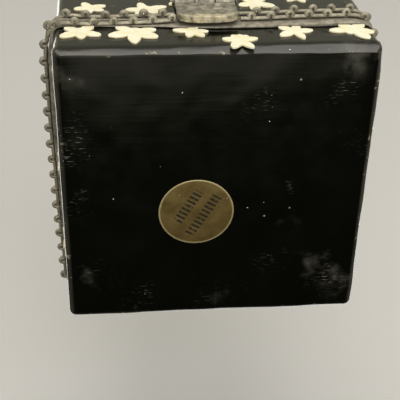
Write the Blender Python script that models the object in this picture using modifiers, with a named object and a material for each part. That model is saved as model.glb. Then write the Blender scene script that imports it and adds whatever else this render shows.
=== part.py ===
"""A small jewelry box of black lacquered wood: a body and a hinged lid, each with a metal band and a
looped wire round its rim, a hanging clasp at the front, a hinge at the back and applied flowers.

Metres, +Z up. The origin is the middle of the underside, the front faces -Y and the hinge is at +Y.
"""

import math

import bmesh
import bpy

MM = 0.001

# Wood
WIDTH = 76.0 * MM
DEPTH = 76.0 * MM
BODY_HEIGHT = 17.3 * MM
LID_HEIGHT = 20.3 * MM
WALL = 4.5 * MM
PANEL = 4.0 * MM
EDGE_ROUND = 1.8 * MM
SEAM = 0.4 * MM  # air between the closed lid and the body
JOINT_GAP = 0.3 * MM  # between two boards, and between a board and what is glued to it
SKIN_GAP = 0.2 * MM  # between a thin metal layer and what is under it

# Metal band and looped wire
BODY_BAND_HEIGHT = 4.1 * MM
LID_BAND_HEIGHT = 3.0 * MM
BAND_THICKNESS = 0.4 * MM
BAND_INSET = 0.1 * MM  # from the rim's edge
WIRE_DIAMETER = 0.8 * MM
WIRE_FROM_RIM = 1.45 * MM
LOOP_PITCH = 4.67 * MM
LOOP_RADIUS = 0.75 * MM  # of the wire's centre line
LOOP_MOUTH = 55  # degrees below the level at which a loop's two ends meet the straight wire
LOOP_SPANS = 5
CORNER_STEPS = 4

# Hinge and clasp
HARDWARE_REACH = 3.3 * MM  # how far the hinge and the clasp stand out from the wood
KNUCKLE_RADIUS = 1.1 * MM
PIN_RADIUS = 0.45 * MM
PIN_CLEARANCE = 0.09 * MM
KNUCKLE_GAP = 0.3 * MM
NECK_INSET = 0.15 * MM  # what joins a knuckle to its leaf is this much narrower, and ends this far inside
LEAF_THICKNESS = 0.8 * MM
HINGE_WIDTH = 24.0 * MM
HINGE_LEAF_HEIGHT = 8.5 * MM
HINGE_NAIL_SPREAD = 16.0 * MM
CLASP_WIDTH = 14.8 * MM
CLASP_OFFSET = -1.5 * MM  # the clasp sits a little left of the middle
CLASP_THICKNESS = 0.9 * MM
CLASP_BELOW_SEAM = 5.4 * MM
CLASP_PIN_ABOVE_SEAM = 7.2 * MM
CLASP_BOW = 1.1 * MM  # how far the middle of the lower edge hangs below its ends
LIP_HEIGHT = 2.1 * MM
CLASP_MOUNT_HEIGHT = 6.5 * MM
CLASP_NAIL_SPREAD = 8.6 * MM
CLASP_STUD_GAP = 0.3 * MM
STUD_RADIUS = 1.2 * MM
STUD_HEAD = 0.4 * MM
NAIL_HEAD_RADIUS = 0.85 * MM
NAIL_HEAD = 0.4 * MM
SHANK_RADIUS = 0.35 * MM
SHANK_LENGTH = 3.2 * MM
SHANK_CLEARANCE = 0.12 * MM

# Flowers, sticker and lining
FLOWER_THICKNESS = 0.5 * MM
PETALS = 5
POINTS_PER_PETAL = 5
STICKER_RADIUS = 9.5 * MM
STICKER_THICKNESS = 0.15 * MM
STICKER_RECESS = 0.4 * MM
STICKER_MIDDLE = (-4.8 * MM, 5.6 * MM)
PAD_THICKNESS = 1.5 * MM
PAD_GAP = 0.5 * MM
PAD_ROUND = 0.5 * MM

# Levels and faces that follow from the sizes above
LID_BOTTOM = BODY_HEIGHT + SEAM
TOTAL_HEIGHT = LID_BOTTOM + LID_HEIGHT
SEAM_MIDDLE = BODY_HEIGHT + SEAM / 2
HALF_WIDTH = WIDTH / 2
HALF_DEPTH = DEPTH / 2
BODY_BAND_TOP = BODY_HEIGHT - BAND_INSET
BODY_BAND_LOW = BODY_BAND_TOP - BODY_BAND_HEIGHT
LID_BAND_LOW = LID_BOTTOM + BAND_INSET
LID_BAND_TOP = LID_BAND_LOW + LID_BAND_HEIGHT
BAND_FACE = SKIN_GAP + BAND_THICKNESS  # how far the band's outside stands from the wood
WIRE_REACH = BAND_FACE + SKIN_GAP + WIRE_DIAMETER / 2
HINGE_AXIS_Y = HALF_DEPTH + HARDWARE_REACH - KNUCKLE_RADIUS
CLASP_BACK = BAND_FACE + SKIN_GAP + STUD_HEAD + CLASP_STUD_GAP  # back of the clasp plate, from the wood
CLASP_AXIS_Y = -(HALF_DEPTH + CLASP_BACK + CLASP_THICKNESS / 2)
CLASP_AXIS_Z = SEAM_MIDDLE + CLASP_PIN_ABOVE_SEAM
CLASP_LOW = SEAM_MIDDLE - CLASP_BELOW_SEAM
CLASP_KNUCKLE = KNUCKLE_RADIUS - 0.1 * MM

# Which way each face of the box looks: the turn that lays a flat outline on it
FACE_TURN = {
    "front": (math.pi / 2, 0, 0),
    "back": (math.pi / 2, 0, math.pi),
    "left": (math.pi / 2, 0, -math.pi / 2),
    "right": (math.pi / 2, 0, math.pi / 2),
    "top": (0, 0, 0),
}

# Flowers: share of the half width along the face (to the right, seen from outside), share of the way up
# the wood from its lower edge (on top: towards the back), radius in mm, turn in degrees
BODY_FLOWERS = {
    "front": [
        (-0.835, 0.65, 5.2, 36),
        (-0.51, 0.60, 6.2, 36),
        (-0.155, 0.62, 4.2, 58),
        (0.13, 0.285, 4.6, 0),
        (0.49, 0.56, 4.6, 15),
        (0.85, 0.58, 5.6, 50),
    ],
    "left": [(0.79, 0.56, 4.4, 20), (0.18, 0.36, 4.2, 50), (-0.12, 0.55, 3.8, 8), (-0.46, 0.40, 4.8, 33)],
    "right": [(-0.78, 0.45, 4.6, 12), (-0.38, 0.36, 4.0, 50), (0.32, 0.42, 4.9, 27)],
    "back": [(0.68, 0.42, 5.0, 10), (-0.62, 0.38, 4.4, 44)],
}
LID_FLOWERS = {
    "front": [
        (-0.79, 0.43, 4.2, 36),
        (-0.43, 0.35, 5.2, 0),
        (0.34, 0.52, 4.9, 40),
        (0.60, 0.69, 4.0, 15),
    ],
    "left": [(0.55, 0.55, 4.6, 28), (-0.35, 0.48, 5.0, 5)],
    "right": [(-0.45, 0.50, 5.0, 40), (0.40, 0.56, 4.3, 15)],
    "top": [
        (0.0, 0.0, 8.0, 0),
        (-0.56, 0.52, 6.0, 30),
        (0.55, 0.50, 6.6, 12),
        (-0.52, -0.55, 6.8, 48),
        (0.57, -0.52, 5.8, 20),
    ],
}


def clear_scene():
    for obj in list(bpy.data.objects):
        bpy.data.objects.remove(obj, do_unlink=True)


def new_collection(name):
    collection = bpy.data.collections.new(name)
    bpy.context.scene.collection.children.link(collection)
    return collection


def material(name, colour, roughness, metallic=0.0):
    made = bpy.data.materials.new(name)
    made.use_nodes = True
    shader = made.node_tree.nodes["Principled BSDF"]
    shader.inputs["Base Color"].default_value = (*colour, 1)
    shader.inputs["Roughness"].default_value = roughness
    shader.inputs["Metallic"].default_value = metallic
    return made


clear_scene()
PARTS = new_collection("jewelry_box")
CUTTERS = new_collection("cutters")
LACQUER = material("black_lacquer", (0.006, 0.006, 0.005), 0.18)
PEWTER = material("aged_pewter", (0.32, 0.29, 0.24), 0.45, 1.0)
STEEL = material("dull_steel", (0.30, 0.29, 0.27), 0.5, 1.0)
BONE = material("ivory_resin", (0.86, 0.80, 0.58), 0.4)
FOIL = material("gold_foil", (0.30, 0.22, 0.08), 0.4, 0.8)
VELVET = material("black_felt", (0.02, 0.02, 0.02), 0.95)


def node(name, mesh, finish):
    """A new part, with its own mesh and material."""
    obj = bpy.data.objects.new(name, mesh)
    PARTS.objects.link(obj)
    obj.data.materials.append(finish)
    return obj


def as_cutter(obj):
    """Turns a part into a helper that only cuts or joins."""
    PARTS.objects.unlink(obj)
    CUTTERS.objects.link(obj)
    obj.hide_render = True
    obj.display_type = "WIRE"
    return obj


def board(name, low, high, finish, rounded=None, radius=EDGE_ROUND, segments=3):
    """A box between two corners. rounded(middle, direction) says which edges are rounded."""
    size = [b - a for a, b in zip(low, high)]
    middle = [(a + b) / 2 for a, b in zip(low, high)]
    shape = bmesh.new()
    bmesh.ops.create_cube(shape, size=1)
    bmesh.ops.scale(shape, vec=size, verts=shape.verts)
    if rounded:
        edges = []
        for edge in shape.edges:
            at = (edge.verts[0].co + edge.verts[1].co) / 2
            along = edge.verts[1].co - edge.verts[0].co
            if rounded(at, along):
                edges.append(edge)
        bmesh.ops.bevel(
            shape, geom=edges, offset=radius, segments=segments, profile=0.5, affect="EDGES"
        )
    mesh = bpy.data.meshes.new(name)
    shape.to_mesh(mesh)
    shape.free()
    obj = node(name, mesh, finish)
    obj.location = middle
    return obj


def rod(name, radius, length, middle, finish, sides=16):
    """A cylinder along X."""
    shape = bmesh.new()
    bmesh.ops.create_cone(
        shape, cap_ends=True, segments=sides, radius1=radius, radius2=radius, depth=length
    )
    mesh = bpy.data.meshes.new(name)
    shape.to_mesh(mesh)
    shape.free()
    obj = node(name, mesh, finish)
    obj.rotation_euler = (0, math.pi / 2, 0)
    obj.location = middle
    return obj


def turned(name, profile, middle, turn, finish, steps=12):
    """A profile of (radius, height) from top to bottom, turned round its own axis."""
    shape = bmesh.new()
    verts = [shape.verts.new((r, 0, z)) for r, z in profile]
    for a, b in zip(verts, verts[1:]):
        shape.edges.new((a, b))
    mesh = bpy.data.meshes.new(name)
    shape.to_mesh(mesh)
    shape.free()
    obj = node(name, mesh, finish)
    obj.location = middle
    obj.rotation_euler = turn
    screw = obj.modifiers.new("turn", "SCREW")
    screw.steps = steps
    screw.render_steps = steps
    screw.use_merge_vertices = True
    screw.merge_threshold = 0.00001
    return obj


def flat_outline(name, points, thickness, middle, turn, finish):
    """A closed outline cut from sheet, as a mesh that can be cut or joined."""
    curve = bpy.data.curves.new(name + "_outline", "CURVE")
    curve.dimensions = "2D"
    curve.fill_mode = "BOTH"
    curve.extrude = thickness / 2
    spline = curve.splines.new("POLY")
    spline.points.add(len(points) - 1)
    for point, (x, y) in zip(spline.points, points):
        point.co = (x, y, 0, 1)
    spline.use_cyclic_u = True
    drawn = bpy.data.objects.new(name + "_outline", curve)
    PARTS.objects.link(drawn)
    drawn.location = middle
    drawn.rotation_euler = turn
    bpy.context.view_layer.update()
    graph = bpy.context.evaluated_depsgraph_get()
    mesh = bpy.data.meshes.new_from_object(drawn.evaluated_get(graph))
    shape = bmesh.new()
    shape.from_mesh(mesh)
    bmesh.ops.remove_doubles(shape, verts=shape.verts, dist=0.000005)
    bmesh.ops.recalc_face_normals(shape, faces=shape.faces)
    shape.to_mesh(mesh)
    shape.free()
    mesh.materials.clear()
    obj = node(name, mesh, finish)
    obj.matrix_world = drawn.matrix_world
    bpy.data.objects.remove(drawn, do_unlink=True)
    return obj


def boolean(obj, other, operation):
    modifier = obj.modifiers.new(other.name, "BOOLEAN")
    modifier.operation = operation
    modifier.solver = "EXACT"
    modifier.object = other


def cut(obj, *cutters):
    for cutter in cutters:
        boolean(obj, cutter, "DIFFERENCE")


def join(obj, *others):
    for other in others:
        boolean(obj, as_cutter(other), "UNION")


def half_rim(reach):
    """Lengths of the five stretches of half the rim, from the middle of the front to that of the back."""
    turn = (EDGE_ROUND + reach) * math.pi / 2
    return [HALF_WIDTH - EDGE_ROUND, turn, DEPTH - 2 * EDGE_ROUND, turn, HALF_WIDTH - EDGE_ROUND]


def rim_point(along, reach, side, out=0.0):
    """The point that far along half the rim, going to side (1 right, -1 left), out further than reach."""
    front, arc, flank, _, _ = half_rim(reach)
    corner = HALF_WIDTH - EDGE_ROUND
    far = HALF_DEPTH - EDGE_ROUND
    radius = EDGE_ROUND + reach
    if along <= front:
        x, y, angle = along, -far, -math.pi / 2
    elif along <= front + arc:
        x, y, angle = corner, -far, -math.pi / 2 + (along - front) / radius
    elif along <= front + arc + flank:
        x, y, angle = corner, -far + along - front - arc, 0.0
    elif along <= front + 2 * arc + flank:
        x, y, angle = corner, far, (along - front - arc - flank) / radius
    else:
        x, y, angle = corner - (along - front - 2 * arc - flank), far, math.pi / 2
    x += math.cos(angle) * (radius + out)
    y += math.sin(angle) * (radius + out)
    return side * x, y


def rim_band(name, low, high):
    """A thin strip round the rim, open at the back where the hinge is."""
    stations = corner_stations(SKIN_GAP) + [sum(half_rim(SKIN_GAP)) - HINGE_WIDTH / 2 - JOINT_GAP]
    path = [rim_point(s, SKIN_GAP, -1) for s in reversed(stations)]
    path += [rim_point(s, SKIN_GAP, 1) for s in stations]
    shape = bmesh.new()
    verts = [shape.verts.new((x, y, low)) for x, y in path]
    edges = [shape.edges.new(pair) for pair in zip(verts, verts[1:])]
    raised = bmesh.ops.extrude_edge_only(shape, edges=edges)["geom"]
    moved = [item for item in raised if isinstance(item, bmesh.types.BMVert)]
    bmesh.ops.translate(shape, verts=moved, vec=(0, 0, high - low))
    bmesh.ops.recalc_face_normals(shape, faces=shape.faces)
    mesh = bpy.data.meshes.new(name)
    shape.to_mesh(mesh)
    shape.free()
    obj = node(name, mesh, PEWTER)
    face = mesh.polygons[0]
    outwards = face.normal.dot(face.center) > 0
    solidify = obj.modifiers.new("thickness", "SOLIDIFY")
    solidify.thickness = BAND_THICKNESS
    solidify.offset = 1 if outwards else -1
    solidify.use_even_offset = True
    return obj


def corner_stations(reach):
    """Places along half the rim that keep a bent strip or wire on its two round corners."""
    front, arc, flank, _, _ = half_rim(reach)
    firsts = (front, front + arc + flank)
    return [first + arc * i / CORNER_STEPS for first in firsts for i in range(CORNER_STEPS + 1)]


def loop_wire(name, level, side, phase):
    """Half of the looped wire, from beside the clasp to beside the hinge."""
    start = CLASP_WIDTH / 2 + side * CLASP_OFFSET + 2 * JOINT_GAP
    end = sum(half_rim(WIRE_REACH)) - HINGE_WIDTH / 2 - 2 * JOINT_GAP
    mouth = math.radians(LOOP_MOUTH)
    middle_out = LOOP_RADIUS * math.sin(mouth)
    sweep = math.pi + 2 * mouth
    corners = corner_stations(WIRE_REACH)
    points = [rim_point(start, WIRE_REACH, side)]
    along = start + LOOP_PITCH * phase
    reached = along
    while along + LOOP_PITCH / 3 < end:
        points += [rim_point(s, WIRE_REACH, side) for s in corners if reached < s < along - LOOP_RADIUS]
        for i in range(LOOP_SPANS + 1):
            angle = math.pi + mouth - sweep * i / LOOP_SPANS
            ahead = LOOP_RADIUS * math.cos(angle)
            out = middle_out + LOOP_RADIUS * math.sin(angle)
            points.append(rim_point(along + ahead, WIRE_REACH, side, out))
        reached = along + LOOP_RADIUS
        along += LOOP_PITCH
    points.append(rim_point(end, WIRE_REACH, side))
    curve = bpy.data.curves.new(name, "CURVE")
    curve.dimensions = "3D"
    curve.bevel_depth = WIRE_DIAMETER / 2
    curve.bevel_resolution = 0
    curve.use_fill_caps = True
    spline = curve.splines.new("POLY")
    spline.points.add(len(points) - 1)
    for point, (x, y) in zip(spline.points, points):
        point.co = (x, y, level, 1)
    return node(name, curve, PEWTER)


def upright(along):
    """Whether an edge of a board stands upright."""
    return abs(along.z) > abs(along.x) and abs(along.z) > abs(along.y)


def walls(prefix, low, high):
    """Four boards: front and back span the width, left and right stand between them."""
    inner = HALF_DEPTH - WALL
    for name, sign in (("front", -1), ("back", 1)):
        y = sorted((sign * HALF_DEPTH, sign * inner))
        board(
            f"{prefix}_{name}_wall",
            (-HALF_WIDTH, y[0], low),
            (HALF_WIDTH, y[1], high),
            LACQUER,
            rounded=lambda at, along, s=sign: upright(along) and at.y * s > 0,
        )
    for name, sign in (("left", -1), ("right", 1)):
        x = sorted((sign * HALF_WIDTH, sign * (HALF_WIDTH - WALL)))
        board(
            f"{prefix}_{name}_wall",
            (x[0], -inner + JOINT_GAP, low),
            (x[1], inner - JOINT_GAP, high),
            LACQUER,
        )


def panels():
    """The base board and the lid's top board, rounded where the box is rounded outside."""
    base = board(
        "bottom_panel",
        (-HALF_WIDTH, -HALF_DEPTH, 0),
        (HALF_WIDTH, HALF_DEPTH, PANEL),
        LACQUER,
        rounded=lambda at, along: at.z <= 0,
    )
    recess = turned(
        "sticker_recess",
        [
            (0, STICKER_RECESS),
            (STICKER_RADIUS + JOINT_GAP, STICKER_RECESS),
            (STICKER_RADIUS + JOINT_GAP, -PANEL),
            (0, -PANEL),
        ],
        (*STICKER_MIDDLE, 0),
        (0, 0, 0),
        LACQUER,
        steps=32,
    )
    cut(base, as_cutter(recess))
    board(
        "lid_top_panel",
        (-HALF_WIDTH, -HALF_DEPTH, TOTAL_HEIGHT - PANEL),
        (HALF_WIDTH, HALF_DEPTH, TOTAL_HEIGHT),
        LACQUER,
        rounded=lambda at, along: at.z >= 0,
    )


def sticker():
    gap = (STICKER_RECESS - STICKER_THICKNESS) / 2
    turned(
        "foil_sticker",
        [
            (0, gap + STICKER_THICKNESS),
            (STICKER_RADIUS, gap + STICKER_THICKNESS),
            (STICKER_RADIUS, gap),
            (0, gap),
        ],
        (*STICKER_MIDDLE, 0),
        (0, 0, 0),
        FOIL,
        steps=32,
    )


def pads():
    """Fabric-covered cards: one on the floor of the body, one under the lid's top."""
    x = HALF_WIDTH - WALL - PAD_GAP
    y = HALF_DEPTH - WALL - PAD_GAP
    floor = PANEL + JOINT_GAP
    ceiling = TOTAL_HEIGHT - PANEL - JOINT_GAP
    board(
        "body_floor_pad",
        (-x, -y, floor),
        (x, y, floor + PAD_THICKNESS),
        VELVET,
        rounded=lambda at, along: at.z > 0,
        radius=PAD_ROUND,
        segments=2,
    )
    board(
        "lid_lining_pad",
        (-x, -y, ceiling - PAD_THICKNESS),
        (x, y, ceiling),
        VELVET,
        rounded=lambda at, along: at.z < 0,
        radius=PAD_ROUND,
        segments=2,
    )


def nail(name, x, level, face, sign, head_radius=NAIL_HEAD_RADIUS, head=NAIL_HEAD):
    """A domed nail driven into a wall. face is how far its head's underside is from the wood."""
    tip = -face - SHANK_LENGTH
    profile = [
        (0, head),
        (head_radius * 0.6, head * 0.8),
        (head_radius, head * 0.25),
        (head_radius, 0),
        (SHANK_RADIUS, 0),
        (SHANK_RADIUS, tip + SHANK_RADIUS),
        (0, tip),
    ]
    turn = (math.pi / 2, 0, 0) if sign < 0 else (-math.pi / 2, 0, 0)
    return turned(name, profile, (x, sign * (HALF_DEPTH + face), level), turn, STEEL)


def nail_hole(name, x, level, sign):
    """The hole that a nail's shank leaves in the wall and in the metal on it."""
    radius = SHANK_RADIUS + SHANK_CLEARANCE
    depth = SHANK_LENGTH + SHANK_CLEARANCE
    profile = [(0, HARDWARE_REACH), (radius, HARDWARE_REACH), (radius, -depth), (0, -depth)]
    turn = (math.pi / 2, 0, 0) if sign < 0 else (-math.pi / 2, 0, 0)
    hole = turned(name, profile, (x, sign * HALF_DEPTH, level), turn, STEEL, steps=8)
    return as_cutter(hole)


def knuckle_spans(middle, width, count):
    """Where each knuckle lies along X."""
    length = (width - (count - 1) * KNUCKLE_GAP) / count
    first = middle - width / 2
    return [(first + i * (length + KNUCKLE_GAP), length) for i in range(count)]


def notch(obj, spans, axis_y, axis_z, radius):
    """Clears a leaf's edge round the other half's knuckles."""
    for i, (start, length) in enumerate(spans):
        room = rod(
            f"{obj.name}_notch_{i}",
            radius + KNUCKLE_GAP,
            length + 2 * KNUCKLE_GAP,
            (start + length / 2, axis_y, axis_z),
            STEEL,
        )
        cut(obj, as_cutter(room))


def hinge_half(obj, spans, axis_y, axis_z, radius, neck_y, neck_z):
    """Joins knuckles to a leaf, each with a neck back to the leaf, and drills them for the pin."""
    for i, (start, length) in enumerate(spans):
        name = f"{obj.name}_{i}"
        knuckle = rod(name + "_knuckle", radius, length, (start + length / 2, axis_y, axis_z), PEWTER)
        neck = board(
            name + "_neck",
            (start + NECK_INSET, neck_y[0], neck_z[0]),
            (start + length - NECK_INSET, neck_y[1], neck_z[1]),
            PEWTER,
        )
        join(obj, knuckle, neck)
    whole = spans[-1][0] + spans[-1][1] - spans[0][0] + 4 * MM
    centre = (spans[0][0] + spans[-1][0] + spans[-1][1]) / 2
    bore = rod(obj.name + "_bore", PIN_RADIUS + PIN_CLEARANCE, whole, (centre, axis_y, axis_z), STEEL)
    cut(obj, as_cutter(bore))


def hinge_pin(name, middle, width, axis_y, axis_z):
    """A pin with a small upset head at each end."""
    half = width / 2 + KNUCKLE_GAP
    head = PIN_RADIUS * 1.6
    profile = [
        (0, half + PIN_RADIUS),
        (head * 0.7, half + PIN_RADIUS * 0.8),
        (head, half),
        (PIN_RADIUS, half),
        (PIN_RADIUS, -half),
        (head, -half),
        (head * 0.7, -half - PIN_RADIUS * 0.8),
        (0, -half - PIN_RADIUS),
    ]
    return turned(name, profile, (middle, axis_y, axis_z), (0, math.pi / 2, 0), STEEL, steps=16)


def back_hinge():
    """Two leaves on the back walls, cranked out to five knuckles on one pin."""
    spans = knuckle_spans(0, HINGE_WIDTH, 5)
    near = HALF_DEPTH + SKIN_GAP
    far = near + LEAF_THICKNESS
    half_neck = KNUCKLE_RADIUS - SEAM / 2
    edge = SEAM / 2 + SKIN_GAP / 2
    for prefix, low, high, own, others, neck in (
        (
            "body",
            SEAM_MIDDLE - edge - HINGE_LEAF_HEIGHT,
            SEAM_MIDDLE - edge,
            spans[0::2],
            spans[1::2],
            (SEAM_MIDDLE - half_neck, SEAM_MIDDLE - edge - NECK_INSET),
        ),
        (
            "lid",
            SEAM_MIDDLE + edge,
            SEAM_MIDDLE + edge + HINGE_LEAF_HEIGHT,
            spans[1::2],
            spans[0::2],
            (SEAM_MIDDLE + edge + NECK_INSET, SEAM_MIDDLE + half_neck),
        ),
    ):
        leaf = board(
            f"hinge_{prefix}_leaf", (-HINGE_WIDTH / 2, near, low), (HINGE_WIDTH / 2, far, high), PEWTER
        )
        notch(leaf, others, HINGE_AXIS_Y, SEAM_MIDDLE, KNUCKLE_RADIUS)
        neck_y = (near + NECK_INSET, HINGE_AXIS_Y)
        hinge_half(leaf, own, HINGE_AXIS_Y, SEAM_MIDDLE, KNUCKLE_RADIUS, neck_y, neck)
        level = (low + high) / 2
        for name, sign in (("left", -1), ("right", 1)):
            x = sign * HINGE_NAIL_SPREAD / 2
            nail(f"hinge_{prefix}_nail_{name}", x, level, far - HALF_DEPTH + SKIN_GAP, 1)
            hole = nail_hole(f"hinge_{prefix}_hole_{name}", x, level, 1)
            cut(leaf, hole)
            cut(bpy.data.objects[f"{prefix}_back_wall"], hole)
    hinge_pin("hinge_pin", 0, HINGE_WIDTH, HINGE_AXIS_Y, SEAM_MIDDLE)


def bowed(width, low, high, bow, count=8):
    """An outline whose lower edge bows down in the middle: (x, z) points round it."""
    half = width / 2
    lower = []
    for i in range(count + 1):
        x = -half + width * i / count
        lower.append((x, low + bow * (x / half) ** 2))
    if high is None:
        upper = [(x, z + LIP_HEIGHT) for x, z in reversed(lower)]
    else:
        upper = [(half, high), (-half, high)]
    return lower + upper


def front_clasp():
    """The mount nailed to the lid, the plate that hangs from it, its pin and the stud it closes on."""
    spans = knuckle_spans(CLASP_OFFSET, CLASP_WIDTH, 3)
    left = CLASP_OFFSET - CLASP_WIDTH / 2
    right = CLASP_OFFSET + CLASP_WIDTH / 2
    clear = CLASP_KNUCKLE + KNUCKLE_GAP
    mount_low = CLASP_AXIS_Z + clear
    mount_high = mount_low + CLASP_MOUNT_HEIGHT
    mount_back = -(HALF_DEPTH + SKIN_GAP)
    mount_front = mount_back - LEAF_THICKNESS
    mount = board("clasp_mount", (left, mount_front, mount_low), (right, mount_back, mount_high), PEWTER)
    hinge_half(
        mount,
        spans[0::2],
        CLASP_AXIS_Y,
        CLASP_AXIS_Z,
        CLASP_KNUCKLE,
        (CLASP_AXIS_Y, mount_back - NECK_INSET),
        (CLASP_AXIS_Z, mount_low + CLASP_THICKNESS),
    )

    plate_middle = -(HALF_DEPTH + CLASP_BACK + CLASP_THICKNESS / 2)
    plate_high = CLASP_AXIS_Z - clear
    outline = bowed(CLASP_WIDTH, CLASP_LOW, plate_high, CLASP_BOW)
    turn = FACE_TURN["front"]
    plate = flat_outline(
        "clasp_plate", outline, CLASP_THICKNESS, (CLASP_OFFSET, plate_middle, 0), turn, PEWTER
    )
    lip_depth = HARDWARE_REACH - CLASP_BACK - CLASP_THICKNESS / 4
    lip = flat_outline(
        "clasp_lip",
        bowed(CLASP_WIDTH, CLASP_LOW, None, CLASP_BOW),
        lip_depth,
        (CLASP_OFFSET, -(HALF_DEPTH + HARDWARE_REACH - lip_depth / 2), 0),
        turn,
        PEWTER,
    )
    join(plate, lip)
    hinge_half(
        plate,
        spans[1:2],
        CLASP_AXIS_Y,
        CLASP_AXIS_Z,
        CLASP_KNUCKLE,
        (plate_middle - CLASP_THICKNESS / 2 + NECK_INSET, plate_middle + CLASP_THICKNESS / 2 - NECK_INSET),
        (plate_high - CLASP_THICKNESS, CLASP_AXIS_Z),
    )
    hinge_pin("clasp_pin", CLASP_OFFSET, CLASP_WIDTH, CLASP_AXIS_Y, CLASP_AXIS_Z)

    level = (mount_low + mount_high) / 2
    for name, sign in (("left", -1), ("right", 1)):
        x = CLASP_OFFSET + sign * CLASP_NAIL_SPREAD / 2
        nail(f"clasp_nail_{name}", x, level, 2 * SKIN_GAP + LEAF_THICKNESS, -1)
        hole = nail_hole(f"clasp_hole_{name}", x, level, -1)
        cut(mount, hole)
        cut(bpy.data.objects["lid_front_wall"], hole)

    stud_level = (BODY_BAND_LOW + BODY_BAND_TOP) / 2
    nail("catch_stud", CLASP_OFFSET, stud_level, BAND_FACE + SKIN_GAP, -1, STUD_RADIUS, STUD_HEAD)
    hole = nail_hole("stud_hole", CLASP_OFFSET, stud_level, -1)
    cut(bpy.data.objects["body_rim_band"], hole)
    cut(bpy.data.objects["body_front_wall"], hole)


def flower_outline(radius):
    """Five round-ended petals: the radius swells and falls five times in one turn."""
    points = []
    count = PETALS * POINTS_PER_PETAL
    for i in range(count):
        angle = 2 * math.pi * i / count
        swell = abs(math.cos(PETALS * angle / 2)) ** 0.9
        reach = radius * (0.40 + 0.60 * swell)
        points.append((reach * math.sin(angle), reach * math.cos(angle)))
    return points


def flower(name, face, along, up, radius, turn, cutter=None):
    """One flower glued on a face, at along and up in metres, turned in its own plane."""
    twist = math.radians(turn)
    outline = [
        (x * math.cos(twist) + y * math.sin(twist), y * math.cos(twist) - x * math.sin(twist))
        for x, y in flower_outline(radius)
    ]
    out = SKIN_GAP + FLOWER_THICKNESS / 2
    middle = {
        "front": (along, -HALF_DEPTH - out, up),
        "back": (-along, HALF_DEPTH + out, up),
        "left": (-HALF_WIDTH - out, -along, up),
        "right": (HALF_WIDTH + out, along, up),
        "top": (along, up, TOTAL_HEIGHT + out),
    }[face]
    obj = flat_outline(name, outline, FLOWER_THICKNESS, middle, FACE_TURN[face], BONE)
    if cutter:
        cut(obj, cutter)


def flowers():
    """Flowers on the body stop at the body's band and those on the lid at the lid's."""
    wide = WIDTH + DEPTH
    over = as_cutter(
        board(
            "over_body_field",
            (-wide, -wide, BODY_BAND_LOW - SKIN_GAP),
            (wide, wide, 2 * TOTAL_HEIGHT),
            LACQUER,
        )
    )
    under = as_cutter(
        board(
            "under_lid_field",
            (-wide, -wide, -TOTAL_HEIGHT),
            (wide, wide, LID_BAND_TOP + SKIN_GAP),
            LACQUER,
        )
    )
    for face, placed in BODY_FLOWERS.items():
        half = HALF_WIDTH if face in ("front", "back") else HALF_DEPTH
        for i, (share, rise, radius, turn) in enumerate(placed):
            flower(
                f"flower_body_{face}_{i + 1}",
                face,
                share * half,
                rise * BODY_HEIGHT,
                radius * MM,
                turn,
                over if rise * BODY_HEIGHT + radius * MM > BODY_BAND_LOW - SKIN_GAP else None,
            )
    for face, placed in LID_FLOWERS.items():
        half = HALF_WIDTH if face in ("front", "top") else HALF_DEPTH
        for i, (share, rise, radius, turn) in enumerate(placed):
            up = rise * HALF_DEPTH if face == "top" else LID_BOTTOM + rise * LID_HEIGHT
            low = up - radius * MM < LID_BAND_TOP + SKIN_GAP and face != "top"
            flower(
                f"flower_lid_{face}_{i + 1}",
                face,
                share * half,
                up,
                radius * MM,
                turn,
                under if low else None,
            )


panels()
walls("body", PANEL + JOINT_GAP, BODY_HEIGHT)
walls("lid", LID_BOTTOM, TOTAL_HEIGHT - PANEL - JOINT_GAP)
sticker()
pads()
rim_band("body_rim_band", BODY_BAND_LOW, BODY_BAND_TOP)
rim_band("lid_rim_band", LID_BAND_LOW, LID_BAND_TOP)
for side_name, side_sign in (("left", -1), ("right", 1)):
    loop_wire(f"body_loop_wire_{side_name}", BODY_HEIGHT - WIRE_FROM_RIM, side_sign, 0.35)
    loop_wire(f"lid_loop_wire_{side_name}", LID_BOTTOM + WIRE_FROM_RIM, side_sign, 0.85)
back_hinge()
front_clasp()
flowers()
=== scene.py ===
# %% [markdown]
# # A small black lacquer jewelry box with ivory flowers
#
# The box lies on its back, so the lesson's camera looks at the underside: a black lacquered base
# with a round gold sticker, the front wall with its applied flowers, and a bent-wire trim round
# both rims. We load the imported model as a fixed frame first. Every piece below is built around
# it, in metres, in the same place, and rides on one of its bodies: the box itself, the lid or the
# clasp.

# %% Load the frame
import math
import random

import bmesh
import bpy
from mathutils import Matrix, Quaternion, Vector, noise


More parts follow.
